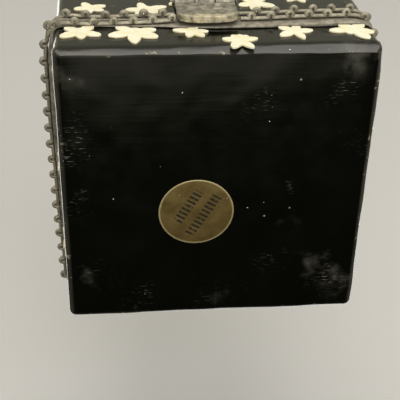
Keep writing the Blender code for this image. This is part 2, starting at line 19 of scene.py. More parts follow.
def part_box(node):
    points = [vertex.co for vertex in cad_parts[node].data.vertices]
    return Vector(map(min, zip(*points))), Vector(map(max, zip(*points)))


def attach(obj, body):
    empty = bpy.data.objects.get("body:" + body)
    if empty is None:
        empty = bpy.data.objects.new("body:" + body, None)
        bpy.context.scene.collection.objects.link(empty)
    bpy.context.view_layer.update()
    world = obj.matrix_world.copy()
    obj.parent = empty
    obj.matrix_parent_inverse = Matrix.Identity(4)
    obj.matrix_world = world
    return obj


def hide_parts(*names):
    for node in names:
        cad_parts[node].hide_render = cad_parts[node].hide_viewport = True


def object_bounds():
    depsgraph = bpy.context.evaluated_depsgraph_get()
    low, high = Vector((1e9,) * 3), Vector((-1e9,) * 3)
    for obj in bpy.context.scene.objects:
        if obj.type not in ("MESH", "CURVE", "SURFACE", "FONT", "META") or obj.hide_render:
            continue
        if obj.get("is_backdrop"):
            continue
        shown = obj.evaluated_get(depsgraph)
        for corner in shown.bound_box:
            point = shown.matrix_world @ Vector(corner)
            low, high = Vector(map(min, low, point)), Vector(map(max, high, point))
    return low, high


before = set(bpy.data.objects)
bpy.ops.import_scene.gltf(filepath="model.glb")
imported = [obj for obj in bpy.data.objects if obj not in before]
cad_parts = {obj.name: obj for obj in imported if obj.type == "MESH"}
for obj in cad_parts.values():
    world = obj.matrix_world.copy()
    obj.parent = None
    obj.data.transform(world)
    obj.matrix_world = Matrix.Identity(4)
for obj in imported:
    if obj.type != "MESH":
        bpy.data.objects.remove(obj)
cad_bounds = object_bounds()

MM = 0.001

# %% [markdown]
# ## Sizes
#
# The frame says where each node is, so the levels of the wood, the metal bands and the hinge pins
# are read from it. Only what the nodes can't say, such as the radius of a rounded edge, is
# written here.

# %% Levels and faces of the wood
LOW, HIGH = 0, 1
base_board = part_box("bottom_panel")
top_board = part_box("lid_top_panel")
body_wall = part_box("body_front_wall")
lid_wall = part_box("lid_front_wall")
HALF = base_board[HIGH][0]
BODY_TOP = body_wall[HIGH][2]
LID_BOTTOM = lid_wall[LOW][2]
TOTAL_HEIGHT = top_board[HIGH][2]
PANEL = base_board[HIGH][2]
WALL = body_wall[HIGH][1] + HALF
EDGE_ROUND = 1.8 * MM
RIM_ROUND = 0.5 * MM
SANDED_TO = 6.0 * MM
FLATTENED = 0.85
print(
    f"box {2 * HALF / MM:.1f} mm square, {TOTAL_HEIGHT / MM:.1f} mm high, walls {WALL / MM:.1f} mm"
)

# %% [markdown]
# ## Small tools
#
# The whole file leans on a few helpers. One clears the selection, because an operator acts on all
# that is selected. One selects faces or edges of the open mesh by their place and direction. One
# applies all modifiers, and one closes a piece: doubles merged, normals outwards, smooth shading
# that keeps edges sharper than a given angle.

# %% Selecting and applying
def clear_selection():
    bpy.ops.object.select_all(action="DESELECT")


def make_active(piece):
    clear_selection()
    piece.select_set(True)
    bpy.context.view_layer.objects.active = piece


def new_piece(name):
    """Names the primitive that was just added and moves its place into its mesh."""
    piece = bpy.context.object
    piece.name = piece.data.name = name
    make_active(piece)
    bpy.ops.object.transform_apply(location=True, rotation=True, scale=True)
    return piece


def pick(piece, mode, test):
    """Selects the faces or edges of the mesh in edit mode that pass a test, and says how many."""
    bpy.ops.mesh.select_mode(type=mode)
    bpy.ops.mesh.select_all(action="DESELECT")
    mesh = bmesh.from_edit_mesh(piece.data)
    mesh.normal_update()
    items = mesh.faces if mode == "FACE" else mesh.edges if mode == "EDGE" else mesh.verts
    count = 0
    for item in items:
        if test(item):
            item.select_set(True)
            count += 1
    mesh.select_flush_mode()
    bmesh.update_edit_mesh(piece.data)
    return count


def apply_modifiers(piece):
    make_active(piece)
    for modifier in list(piece.modifiers):
        bpy.ops.object.modifier_apply(modifier=modifier.name)


def close_up(piece, angle=40, recalculate=True, merge=0.002 * MM):
    """Merges doubles, turns the faces outwards and smooths everything flatter than the angle."""
    make_active(piece)
    bpy.ops.object.mode_set(mode="EDIT")
    bpy.ops.mesh.select_all(action="SELECT")
    bpy.ops.mesh.remove_doubles(threshold=merge)
    if recalculate:
        bpy.ops.mesh.normals_make_consistent(inside=False)
    bpy.ops.object.mode_set(mode="OBJECT")
    bpy.ops.object.shade_smooth_by_angle(angle=math.radians(angle))


print("helpers ready")

# %% [markdown]
# A modifier is added with its settings in one line. A voxel remesh turns overlapping shapes into
# one closed skin, and a few rounds of smoothing wear its edges down the way casting and handling
# do.

# %% Modifiers
def modify(piece, kind, **settings):
    modifier = piece.modifiers.new(kind.lower(), kind)
    for name, value in settings.items():
        setattr(modifier, name, value)
    return modifier


def one_skin(piece, voxel, rounds, factor=0.5):
    """Melts overlapping shapes into one closed, softly worn skin."""
    modify(piece, "REMESH", mode="VOXEL", voxel_size=voxel, adaptivity=0)
    if rounds:
        modify(piece, "SMOOTH", iterations=rounds, factor=factor)
    apply_modifiers(piece)


def roughen(piece, size, depth, group=""):
    """Pushes the skin in and out by a cloud pattern: size of the lumps, and how deep they are."""
    clouds = bpy.data.textures.new(piece.name + "_lumps", "CLOUDS")
    clouds.noise_scale = size
    clouds.noise_depth = 1
    modify(
        piece,
        "DISPLACE",
        texture=clouds,
        texture_coords="LOCAL",
        strength=depth,
        mid_level=0.5,
        vertex_group=group,
    )
    apply_modifiers(piece)


def join_pieces(name, pieces):
    """Joins objects into one and gives it the name."""
    clear_selection()
    for piece in pieces:
        piece.select_set(True)
    bpy.context.view_layer.objects.active = pieces[0]
    if len(pieces) > 1:
        bpy.ops.object.join()
    joined = bpy.context.object
    joined.name = joined.data.name = name
    return joined


def belongs(piece, body, slot, material, *nodes):
    """Gives a finished piece its material and its body, and hides the nodes it stands for; the slot
    is not used.
    """
    piece.data.materials.clear()
    piece.data.materials.append(material)
    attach(piece, body)
    if nodes:
        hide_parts(*nodes)


print("modifier helpers ready")

# %% [markdown]
# ## Materials
#
# A material is a small network. One function adds a node with its settings and links and hands
# back the output that the next node needs. Colours are written as the hex values one would read
# off a paint card, and one function turns them into the linear numbers that the renderer adds up.
# A pattern is drawn in object coordinates, which are metres here, so `per(3)` is a pattern that
# repeats every 3 mm.

# %% Node and colour helpers
def linear(hex_code):
    """An sRGB hex colour as linear red, green, blue and alpha."""
    parts = [int(hex_code[i : i + 2], 16) / 255 for i in (1, 3, 5)]
    return (*[p / 12.92 if p <= 0.04045 else ((p + 0.055) / 1.055) ** 2.4 for p in parts], 1.0)


def per(size_mm):
    return 1 / (size_mm * MM)


def find_socket(sockets, name):
    if isinstance(name, int):
        return sockets[name]
    return next(s for s in sockets if s.enabled and name in (s.name, s.identifier))


def add(tree, kind, inputs=None, take=None, **settings):
    """Adds a node, sets it, fills or links its inputs and returns one of its outputs."""
    node = tree.nodes.new("ShaderNode" + kind)
    for name, value in settings.items():
        setattr(node, name, value)
    for name, value in (inputs or {}).items():
        socket = find_socket(node.inputs, name)
        if isinstance(value, bpy.types.NodeSocket):
            tree.links.new(value, socket)
        else:
            socket.default_value = value
    shown = [s for s in node.outputs if s.enabled]
    return find_socket(node.outputs, take) if take is not None else shown[0] if shown else None


def new_material(name):
    material = bpy.data.materials.new(name)
    material.use_nodes = True
    material.node_tree.nodes.clear()
    return material, material.node_tree


print("black lacquer in linear numbers:", [round(v, 4) for v in linear("#0D0B09")])

# %% [markdown]
# ### Black lacquer on wood
#
# The box is turned out of plain wood, painted black and brushed with a glossy lacquer. Brushed
# lacquer is never quite flat: it mirrors the room in slow waves, and that waviness is what makes
# it look real. On top of it come the marks of use: dust, fine scratches that mostly run along the
# front, a few dull rubbed patches near the back corners, and edges where the black is chipped to
# the pale wood.

# %% Where the lacquer is worn
RUBBED = [  # (x, y, reach in mm, strength)
    (28.0, 23.0, 4.5, 0.26),
    (33.5, 26.5, 4.5, 0.26),
    (24.0, 20.0, 2.6, 0.20),
    (31.0, 31.0, 5.0, 0.12),
    (-31.5, 26.5, 4.2, 0.26),
    (31.5, -36.0, 6.0, 0.34),
    (37.4, -37.2, 2.0, 1.0),
    (-34.0, -31.0, 3.5, 0.22),
    (2.0, 33.0, 4.0, 0.10),
    (20.0, 8.5, 3.0, 0.08),
]
SCRATCHED = [
    (-34.5, -14.0, 9.0, 1.0),
    (-35.0, 3.0, 6.0, 0.7),
    (-33.0, -30.0, 7.0, 0.8),
    (29.0, -28.0, 6.0, 0.7),
    (30.0, 27.0, 9.0, 0.9),
    (19.0, 0.5, 5.0, 0.8),
    (-31.0, 25.0, 7.0, 0.8),
    (9.0, -26.0, 8.0, 0.4),
    (2.0, 32.0, 10.0, 0.35),
    (17.0, 21.0, 7.0, 0.6),
    (-20.0, 30.0, 8.0, 0.4),
    (-28.0, -18.0, 4.0, 0.6),
    (34.0, -12.0, 5.0, 0.5),
]


def patches(tree, coords, spots):
    """Soft round patches round given places of the underside, laid over each other."""
    total = None
    for x, y, reach, strength in spots:
        away = add(
            tree,
            "VectorMath",
            {0: coords, 1: (x * MM, y * MM, 0)},
            take="Value",
            operation="DISTANCE",
        )
        patch = add(
            tree,
            "MapRange",
            {
                "Value": away,
                "From Min": reach * MM,
                "From Max": 0.0,
                "To Min": 0.0,
                "To Max": strength,
            },
            interpolation_type="SMOOTHSTEP",
        )
        total = patch if total is None else add(
            tree, "Math", {0: total, 1: patch}, operation="MAXIMUM"
        )
    return total


print(f"{len(RUBBED)} rubbed patches")

# %% Masks that both the lid and the body use
def specks(tree, coords, spacing, size, share):
    """Round specks: one to a cell of a scattered pattern, and only in a share of the cells."""
    scattered = tree.nodes.new("ShaderNodeTexVoronoi")
    tree.links.new(coords, scattered.inputs["Vector"])
    scattered.inputs["Scale"].default_value = per(spacing)
    near = add(
        tree,
        "MapRange",
        {"Value": scattered.outputs["Distance"], "From Min": size, "From Max": size * 0.5},
        interpolation_type="SMOOTHSTEP",
    )
    lucky = add(tree, "SeparateColor", {"Color": scattered.outputs["Color"]}, take="Red")
    chosen = add(tree, "Math", {0: lucky, 1: 1 - share}, operation="GREATER_THAN")
    return add(tree, "Math", {0: near, 1: chosen}, operation="MULTIPLY")


def streaks(tree, coords, length, width, turn, threshold):
    """Thin scratches: a noise stretched along one direction, and only its peaks kept."""
    turned = add(
        tree,
        "Mapping",
        {
            "Vector": coords,
            "Rotation": (0, 0, math.radians(turn)),
            "Scale": (per(length), per(width), per(length)),
        },
    )
    fine = add(tree, "TexNoise", {"Vector": turned, "Scale": 1.0, "Detail": 1.0, "Roughness": 0.4})
    return add(
        tree,
        "MapRange",
        {"Value": fine, "From Min": threshold, "From Max": threshold + 0.06},
        interpolation_type="SMOOTHSTEP",
    )


def near_edges(tree, coords, low, high, start):
    """Grows from 0 to 1 where two or three outer faces of the box meet: the rounded edges."""
    x, y, z = (add(tree, "SeparateXYZ", {"Vector": coords}, take=axis) for axis in "XYZ")
    middle = add(tree, "Math", {0: z, 1: (low + high) / 2}, operation="SUBTRACT")
    zones = []
    for axis, half in ((x, HALF), (y, HALF), (middle, (high - low) / 2)):
        outwards = add(tree, "Math", {0: axis}, operation="ABSOLUTE")
        zones.append(
            add(
                tree,
                "MapRange",
                {"Value": outwards, "From Min": half - start, "From Max": half - start * 0.15},
            )
        )
    pairs = [
        add(tree, "Math", {0: zones[i], 1: zones[j]}, operation="MULTIPLY") for i, j in (
            (0, 1), (1, 2), (0, 2)
        )
    ]
    most = add(tree, "Math", {0: pairs[0], 1: pairs[1]}, operation="MAXIMUM")
    return add(tree, "Math", {0: most, 1: pairs[2]}, operation="MAXIMUM")


def blend_colour(tree, factor, first, second):
    return add(
        tree,
        "Mix",
        {"Factor": factor, "A": first, "B": second},
        take="Result",
        data_type="RGBA",
    )


print("masks ready")

# %% Black lacquer
def black_lacquer(name, low, high):
    material, tree = new_material(name)
    coords = add(tree, "TexCoord", take="Object")
    cloudy = add(
        tree, "TexNoise", {"Vector": coords, "Scale": per(22), "Detail": 4.0, "Roughness": 0.6}
    )
    paint = blend_colour(tree, cloudy, linear("#030402"), linear("#0A0B06"))

    patchy = add(
        tree, "TexNoise", {"Vector": coords, "Scale": per(3.4), "Detail": 6.0, "Roughness": 0.6}
    )
    broken = add(tree, "MapRange", {"Value": patchy, "From Min": 0.38, "From Max": 0.80})
    drift = add(tree, "TexNoise", {"Vector": coords, "Scale": per(7), "Detail": 3.0}, take="Color")
    drift = add(
        tree, "VectorMath", {0: drift, 1: (0.5, 0.5, 0.5)}, take="Vector", operation="SUBTRACT"
    )
    drift = add(tree, "VectorMath", {0: drift, "Scale": 16 * MM}, take="Vector", operation="SCALE")
    astray = add(tree, "VectorMath", {0: coords, 1: drift}, take="Vector", operation="ADD")
    rubbed = add(tree, "Math", {0: patches(tree, astray, RUBBED), 1: broken}, operation="MULTIPLY")
    if low > 0:
        rubbed = add(tree, "Math", {0: broken, 1: 0.04}, operation="MULTIPLY")

    along = streaks(tree, coords, 2.2, 0.34, 5, 0.645)
    across = streaks(tree, coords, 2.0, 0.32, 61, 0.67)
    scratches = add(tree, "Math", {0: along, 1: across}, operation="MAXIMUM")
    handled = add(tree, "TexNoise", {"Vector": coords, "Scale": per(9), "Detail": 2.0})
    where = add(
        tree, "MapRange", {"Value": handled, "From Min": 0.52, "From Max": 0.70, "To Max": 0.6}
    )
    if low == 0:
        where = patches(tree, astray, SCRATCHED)
        kept = add(
            tree, "MapRange", {"Value": handled, "From Min": 0.44, "From Max": 0.56, "To Min": 0.1}
        )
        where = add(tree, "Math", {0: where, 1: kept}, operation="MULTIPLY")
    scratches = add(tree, "Math", {0: scratches, 1: where}, operation="MULTIPLY")

    dust = specks(tree, coords, 1.6, 0.11, 0.34)
    dust = add(tree, "Math", {0: dust, 1: where}, operation="MULTIPLY")
    lint = specks(tree, coords, 4.2, 0.045, 0.22)
    blots = specks(tree, coords, 6.5, 0.055, 0.20)
    blots = add(tree, "Math", {0: blots, 1: 0.35}, operation="MULTIPLY")
    dirt = add(tree, "Math", {0: dust, 1: lint}, operation="MAXIMUM")
    dirt = add(tree, "Math", {0: dirt, 1: blots}, operation="MAXIMUM")

    edges = near_edges(tree, coords, low, high, 1.5 * MM)
    chip_noise = add(
        tree, "TexNoise", {"Vector": coords, "Scale": per(1.9), "Detail": 3.0, "Roughness": 0.55}
    )
    chips = add(tree, "MapRange", {"Value": chip_noise, "From Min": 0.66, "From Max": 0.70})
    chips = add(tree, "Math", {0: chips, 1: edges}, operation="MULTIPLY")

    colour = blend_colour(tree, rubbed, paint, linear("#8C897E"))
    faint = add(tree, "Math", {0: scratches, 1: 0.40}, operation="MULTIPLY")
    colour = blend_colour(tree, faint, colour, linear("#8E8C84"))
    thinned = add(
        tree,
        "MapRange",
        {"Value": cloudy, "From Min": 0.35, "From Max": 0.65, "To Min": 0.10, "To Max": 0.28},
    )
    worn = add(tree, "Math", {0: edges, 1: thinned}, operation="MULTIPLY")
    colour = blend_colour(tree, worn, colour, linear("#9A968A"))
    colour = blend_colour(tree, chips, colour, linear("#C9BFA2"))
    colour = blend_colour(tree, dirt, colour, linear("#D8D6CC"))

    dull = add(tree, "Math", {0: rubbed, 1: 0.5}, operation="MULTIPLY")
    dull = add(tree, "Math", {0: dull, 1: dirt}, operation="MAXIMUM")
    dull = add(tree, "Math", {0: dull, 1: chips}, operation="MAXIMUM")
    smears = add(
        tree, "TexNoise", {"Vector": coords, "Scale": per(9), "Detail": 3.0, "Roughness": 0.6}
    )
    gloss = add(
        tree,
        "MapRange",
        {"Value": smears, "From Min": 0.3, "From Max": 0.7, "To Min": 0.09, "To Max": 0.19},
    )
    roughness = add(tree, "MapRange", {"Value": dull, "To Min": 0.0, "To Max": 0.55})
    roughness = add(tree, "Math", {0: gloss, 1: roughness}, operation="ADD")

    waves = add(
        tree, "TexNoise", {"Vector": coords, "Scale": per(11), "Detail": 1.0, "Roughness": 0.35}
    )
    bump = add(tree, "Bump", {"Height": waves, "Distance": 0.22 * MM, "Strength": 0.8})
    brush = add(
        tree, "Mapping", {
            "Vector": coords, "Scale": (per(30), per(2.2), per(2.2)), "Rotation": (0, 0, 0.06)
        }
    )
    bristles = add(tree, "TexNoise", {"Vector": brush, "Scale": 1.0, "Detail": 2.0})
    bump = add(
        tree, "Bump", {"Height": bristles, "Distance": 0.02 * MM, "Strength": 0.7, "Normal": bump}
    )
    marks = add(tree, "Math", {0: scratches, 1: dirt}, operation="SUBTRACT")
    bump = add(
        tree,
        "Bump",
        {"Height": marks, "Distance": 0.03 * MM, "Strength": 0.6, "Normal": bump},
        invert=True,
    )

    shader = add(
        tree,
        "BsdfPrincipled",
        {
            "Base Color": colour,
            "Roughness": roughness,
            "IOR": 1.5,
            "Normal": bump,
        },
    )
    add(tree, "OutputMaterial", {"Surface": shader})
    return material


BODY_LACQUER = black_lacquer("black_lacquer_brushed_on_wood_body", 0.0, BODY_TOP)
LID_LACQUER = black_lacquer("black_lacquer_brushed_on_wood_lid", LID_BOTTOM, TOTAL_HEIGHT)
print(BODY_LACQUER.name, "and", LID_LACQUER.name)

# %% [markdown]
# ### Aged pewter
#
# The trim, the clasp and the hinge are a soft grey casting metal that has lost its shine. Raised
# places are rubbed to a warm pale grey, and hollows hold a brown film. Ambient occlusion finds
# the hollows: it measures how much of the sky a point can't see, so it works on any shape without
# painting.

# %% Aged pewter and dull steel
def aged_metal(
    name, high_colour, low_colour, film_colour, film, roughness, pit, metallic=0.75, painted_highlight_level=None
):
    material, tree = new_material(name)
    coords = add(tree, "TexCoord", take="Object")
    mottled = add(
        tree, "TexNoise", {"Vector": coords, "Scale": per(1.6), "Detail": 5.0, "Roughness": 0.65}
    )
    spread = add(tree, "MapRange", {"Value": mottled, "From Min": 0.35, "From Max": 0.68})
    colour = blend_colour(tree, spread, linear(low_colour), linear(high_colour))
    open_sky = add(tree, "AmbientOcclusion", {"Distance": 1.1 * MM}, take="AO", samples=8)
    hollow = add(tree, "MapRange", {"Value": open_sky, "From Min": 0.85, "From Max": 0.30})
    blotch = add(tree, "TexNoise", {"Vector": coords, "Scale": per(3.4), "Detail": 3.0})
    filmed = add(
        tree, "MapRange", {"Value": blotch, "From Min": 0.52, "From Max": 0.72, "To Max": 0.5}
    )
    hollow = add(tree, "Math", {0: hollow, 1: filmed}, operation="MAXIMUM")
    hollow = add(tree, "Math", {0: hollow, 1: film}, operation="MULTIPLY")
    colour = blend_colour(tree, hollow, colour, linear(film_colour))
    # Painted highlight: below the lip level the flap is painted a pale warm grey, broken by the
    # mottling.
    if painted_highlight_level is not None:
        level = add(tree, "SeparateXYZ", {"Vector": coords}, take="Z")
        wander = add(tree, "MapRange", {"Value": blotch, "To Min": -1.6 * MM, "To Max": 1.6 * MM})
        level = add(tree, "Math", {0: level, 1: wander}, operation="ADD")
        lip_highlight = add(
            tree,
            "MapRange",
            {"Value": level, "From Min": painted_highlight_level + 1.2 * MM, "From Max": painted_highlight_level - 0.6 * MM},
        )
        highlight_breakup = add(
            tree, "MapRange", {"Value": mottled, "From Min": 0.34, "From Max": 0.58, "To Max": 0.9}
        )
        lip_highlight = add(tree, "Math", {0: lip_highlight, 1: highlight_breakup}, operation="MULTIPLY")
        colour = blend_colour(tree, lip_highlight, colour, linear("#C6BC9D"))
    rough = add(
        tree,
        "MapRange",
        {
            "Value": mottled,
            "From Min": 0.3,
            "From Max": 0.7,
            "To Min": roughness + 0.12,
            "To Max": roughness - 0.08,
        },
    )
    pits = add(
        tree, "TexNoise", {"Vector": coords, "Scale": per(pit), "Detail": 4.0, "Roughness": 0.6}
    )
    bump = add(tree, "Bump", {"Height": pits, "Distance": 0.14 * MM, "Strength": 0.6})
    grain = add(tree, "TexNoise", {"Vector": coords, "Scale": per(0.25), "Detail": 2.0})
    bump = add(
        tree, "Bump", {"Height": grain, "Distance": 0.03 * MM, "Strength": 0.5, "Normal": bump}
    )
    shader = add(
        tree,
        "BsdfPrincipled",
        {"Base Color": colour, "Metallic": metallic, "Roughness": rough, "Normal": bump},
    )
    add(tree, "OutputMaterial", {"Surface": shader})
    return material


PEWTER = aged_metal("aged_pewter_cast", "#A9A495", "#706B5F", "#3B3529", 0.85, 0.50, 0.9, 0.35)
# The flap's pewter also paints a pale highlight along the clasp lip.
LIP_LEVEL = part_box("clasp_plate")[LOW][2] + 1.6 * MM
FLAP_PEWTER = aged_metal(
    "aged_pewter_cast_flap_painted_lip_highlight", "#A19C8D", "#5F5B50", "#332D22", 0.85, 0.50, 0.9, 0.35, painted_highlight_level=LIP_LEVEL
)
WIRE_PEWTER = aged_metal("aged_pewter_wire", "#ABA592", "#7F7968", "#453D2E", 0.8, 0.48, 0.7, 0.30)
STEEL = aged_metal("dull_steel_drawn", "#8B8983", "#5E5C57", "#2A2520", 0.6, 0.38, 0.6, 0.9)
print("metals:", PEWTER.name, WIRE_PEWTER.name, STEEL.name)

# %% [markdown]
# ### Ivory resin
#
# The flowers are pressed from a bone-coloured resin, close to old ivory: warm white with a soft wax
# shine, and painted shade that turns it yellow-brown towards the edges and in the notches. A little
# light goes into it and comes out again, which is what subsurface scattering adds.

# %% Ivory resin
def ivory_resin():
    material, tree = new_material("ivory_resin_pressed")
    coords = add(tree, "TexCoord", take="Object")
    veins = add(
        tree, "TexNoise", {"Vector": coords, "Scale": per(3.5), "Detail": 4.0, "Roughness": 0.6}
    )
    veined = add(tree, "MapRange", {"Value": veins, "From Min": 0.38, "From Max": 0.66})
    colour = blend_colour(tree, veined, linear("#ECE8D2"), linear("#E0D9B4"))
    # Painted shade: ambient occlusion darkens the notches and the foot of each flower to
    # yellow-brown.
    open_sky = add(tree, "AmbientOcclusion", {"Distance": 0.9 * MM}, take="AO", samples=8)
    hollow = add(
        tree, "MapRange", {"Value": open_sky, "From Min": 0.8, "From Max": 0.25, "To Max": 0.8}
    )
    colour = blend_colour(tree, hollow, colour, linear("#B79F5E"))
    grime = specks(tree, coords, 1.9, 0.09, 0.10)
    colour = blend_colour(tree, grime, colour, linear("#8A7444"))
    rough = add(
        tree,
        "MapRange",
        {"Value": veins, "From Min": 0.3, "From Max": 0.7, "To Min": 0.34, "To Max": 0.5},
    )
    pressed = add(tree, "TexNoise", {"Vector": coords, "Scale": per(1.4), "Detail": 3.0})
    bump = add(tree, "Bump", {"Height": pressed, "Distance": 0.07 * MM, "Strength": 0.6})
    shader = add(
        tree,
        "BsdfPrincipled",
        {
            "Base Color": colour,
            "Roughness": rough,
            "IOR": 1.5,
            "Subsurface Weight": 0.12,
            "Subsurface Radius": (1.0 * MM, 0.7 * MM, 0.4 * MM),
            "Subsurface Scale": 1.0,
            "Normal": bump,
        },
    )
    add(tree, "OutputMaterial", {"Surface": shader})
    return material


IVORY = ivory_resin()
print(IVORY.name)

# %% [markdown]
# ### Gold foil sticker
#
# A stuck-on label of dull gold foil with a brighter cut edge. Its print is replaced with plain
# dark bars in two rows, because this lesson draws no lettering. The rows come from a brick
# pattern turned to the label's own slant: the bricks are the ink and the mortar between them is
# the foil.

# %% Gold foil with two printed rows
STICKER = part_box("foil_sticker")
STICKER_MIDDLE = [(a + b) / 2 for a, b in zip(*STICKER)]
STICKER_RADIUS = (STICKER[HIGH][0] - STICKER[LOW][0]) / 2
PRINT_TURN = math.radians(58)


def inside(tree, value, low, high):
    above = add(tree, "Math", {0: value, 1: low}, operation="GREATER_THAN")
    below = add(tree, "Math", {0: value, 1: high}, operation="LESS_THAN")
    return add(tree, "Math", {0: above, 1: below}, operation="MULTIPLY")


def gold_foil():
    material, tree = new_material("gold_foil_label")
    coords = add(tree, "TexCoord", take="Object")
    centred = add(
        tree,
        "VectorMath",
        {0: coords, 1: (STICKER_MIDDLE[0], STICKER_MIDDLE[1], 0)},
        operation="SUBTRACT",
    )
    turned = add(tree, "Mapping", {"Vector": centred, "Rotation": (0, 0, PRINT_TURN)})
    across = add(tree, "SeparateXYZ", {"Vector": turned}, take="X")
    up = add(tree, "SeparateXYZ", {"Vector": turned}, take="Y")
    rows = []
    for low, high, left, right in ((0.75, 3.25, -6.9, 6.6), (-3.9, -1.4, -5.3, 5.5)):
        row = inside(tree, up, low * MM, high * MM)
        span = inside(tree, across, left * MM, right * MM)
        rows.append(add(tree, "Math", {0: row, 1: span}, operation="MULTIPLY"))
    row_mask = add(tree, "Math", {0: rows[0], 1: rows[1]}, operation="ADD")
    scaled = add(tree, "VectorMath", {0: turned, "Scale": per(1)}, operation="SCALE")
    bars = add(
        tree,
        "TexBrick",
        {
            "Vector": scaled,
            "Color1": (1, 1, 1, 1),
            "Color2": (1, 1, 1, 1),
            "Mortar": (0, 0, 0, 1),
            "Scale": 1.0,
            "Mortar Size": 0.36,
            "Mortar Smooth": 0.3,
            "Brick Width": 1.25,
            "Row Height": 5.0,
        },
        take="Color",
        offset=0.37,
    )
    ink = add(tree, "Math", {0: bars, 1: row_mask}, operation="MULTIPLY")
    faded = add(tree, "TexNoise", {"Vector": coords, "Scale": per(0.8), "Detail": 3.0})
    kept = add(tree, "MapRange", {"Value": faded, "From Min": 0.30, "From Max": 0.46})
    ink = add(tree, "Math", {0: ink, 1: kept}, operation="MULTIPLY")

    tarnish = add(
        tree, "TexNoise", {"Vector": coords, "Scale": per(4.5), "Detail": 5.0, "Roughness": 0.6}
    )
    spread = add(tree, "MapRange", {"Value": tarnish, "From Min": 0.35, "From Max": 0.68})
    colour = blend_colour(tree, spread, linear("#5E4E27"), linear("#78663A"))
    away = add(tree, "VectorMath", {0: centred}, take="Value", operation="LENGTH")
    rim = add(
        tree, "MapRange", {
            "Value": away,
            "From Min": STICKER_RADIUS - 0.55 * MM,
            "From Max": STICKER_RADIUS - 0.3 * MM,
        }
    )
    colour = blend_colour(tree, rim, colour, linear("#B5A77C"))
    flecks = specks(tree, coords, 1.5, 0.11, 0.10)
    colour = blend_colour(tree, flecks, colour, linear("#D9CB9A"))
    colour = blend_colour(tree, ink, colour, linear("#15120C"))
    metallic = add(tree, "MapRange", {"Value": ink, "To Min": 0.55, "To Max": 0.0})
    creases = add(tree, "TexNoise", {"Vector": coords, "Scale": per(2.2), "Detail": 2.0})
    bump = add(tree, "Bump", {"Height": creases, "Distance": 0.05 * MM, "Strength": 0.5})
    bump = add(
        tree, "Bump", {"Height": rim, "Distance": 0.04 * MM, "Strength": 0.7, "Normal": bump}
    )
    rough = add(
        tree,
        "MapRange",
        {"Value": tarnish, "From Min": 0.3, "From Max": 0.7, "To Min": 0.42, "To Max": 0.56},
    )
    shader = add(
        tree,
        "BsdfPrincipled",
        {"Base Color": colour, "Metallic": metallic, "Roughness": rough, "Normal": bump},
    )
    add(tree, "OutputMaterial", {"Surface": shader})
    return material


GOLD_FOIL = gold_foil()
print(
    f"label of {2 * STICKER_RADIUS / MM:.1f} mm at x {STICKER_MIDDLE[0] / MM:.1f}, "
    f"y {STICKER_MIDDLE[1] / MM:.1f} mm"
)

# %% [markdown]
# ### Black felt
#
# The inside is lined with cards covered in thin black felt. Felt is a mat of short fibres: no
# thread count to draw, but a fuzzy surface that catches light at a glancing angle, which is what
# sheen gives, and a lint of paler fibres.

# %% Black felt
def black_felt():
    material, tree = new_material("black_felt_pressed")
    coords = add(tree, "TexCoord", take="Object")
    mat = add(
        tree, "TexNoise", {"Vector": coords, "Scale": per(0.9), "Detail": 6.0, "Roughness": 0.75}
    )
    nap = add(tree, "TexNoise", {"Vector": coords, "Scale": per(14), "Detail": 2.0})
    fibre = add(tree, "MapRange", {"Value": mat, "From Min": 0.35, "From Max": 0.7})
    colour = blend_colour(tree, fibre, linear("#0B0B0C"), linear("#242326"))
    brushed = add(
        tree, "MapRange", {"Value": nap, "From Min": 0.4, "From Max": 0.65, "To Max": 0.5}
    )
    colour = blend_colour(tree, brushed, colour, linear("#2E2C2E"))
    lint = specks(tree, coords, 3.6, 0.06, 0.12)
    colour = blend_colour(tree, lint, colour, linear("#8F8B82"))
    bump = add(tree, "Bump", {"Height": mat, "Distance": 0.22 * MM, "Strength": 0.9})
    shader = add(
        tree,
        "BsdfPrincipled",
        {
            "Base Color": colour,
            "Roughness": 0.95,
            "Sheen Weight": 0.35,
            "Sheen Roughness": 0.5,
            "Sheen Tint": linear("#9A96A0"),
            "Normal": bump,
        },
    )
    add(tree, "OutputMaterial", {"Surface": shader})
    return material


FELT = black_felt()
print(FELT.name)

# %% [markdown]
# ## The camera
#
# The camera looks up at the underside from in front, so the base fills the picture and the front
# wall shows as a narrow strip along its top. A camera is easiest to place by three things: where
# it stands, what it looks at, and how far it rolls round that line.

# %% Camera
CAMERA_PLACE = Vector((-23.4, -121.785, -192.47)) * MM
CAMERA_AIM = Vector((-3.921, 2.03, 0.0)) * MM
CAMERA_ROLL = math.radians(-9.22)
LENS = 83.21

bpy.ops.object.camera_add(location=CAMERA_PLACE)
camera = bpy.context.object
camera.name = "camera"
camera.data.lens = LENS
camera.data.sensor_width = 36.0
camera.data.clip_start = 0.005
camera.data.clip_end = 20.0
facing = (CAMERA_AIM - CAMERA_PLACE).to_track_quat("-Z", "Y")
camera.rotation_mode = "QUATERNION"
camera.rotation_quaternion = facing @ Quaternion((0, 0, 1), CAMERA_ROLL)
bpy.context.scene.camera = camera
print(f"camera {(CAMERA_AIM - CAMERA_PLACE).length / MM:.0f} mm from the base, lens {LENS} mm")

# %% [markdown]
# ## The lacquered box and lid
#
# The real box is glued up from boards, sanded round and painted, so no joints show: body and lid
# are each one hollow shell. We start from a cube, inset its open side by the thickness of the
# walls and extrude that face down to leave a floor. A bevel then rounds the outer edges. Hand
# sanding never leaves an edge quite straight, so the long edges are divided into a grid and a
# cloud pattern moves the shell by up to a tenth or two of a millimetre, only near its edges.

# %% A hollow shell
def divide_long_edges(piece, longest):
    """Halves every edge longer than that until none is left."""
    while pick(piece, "EDGE", lambda edge: edge.calc_length() > longest):
        bpy.ops.mesh.subdivide(number_cuts=1)


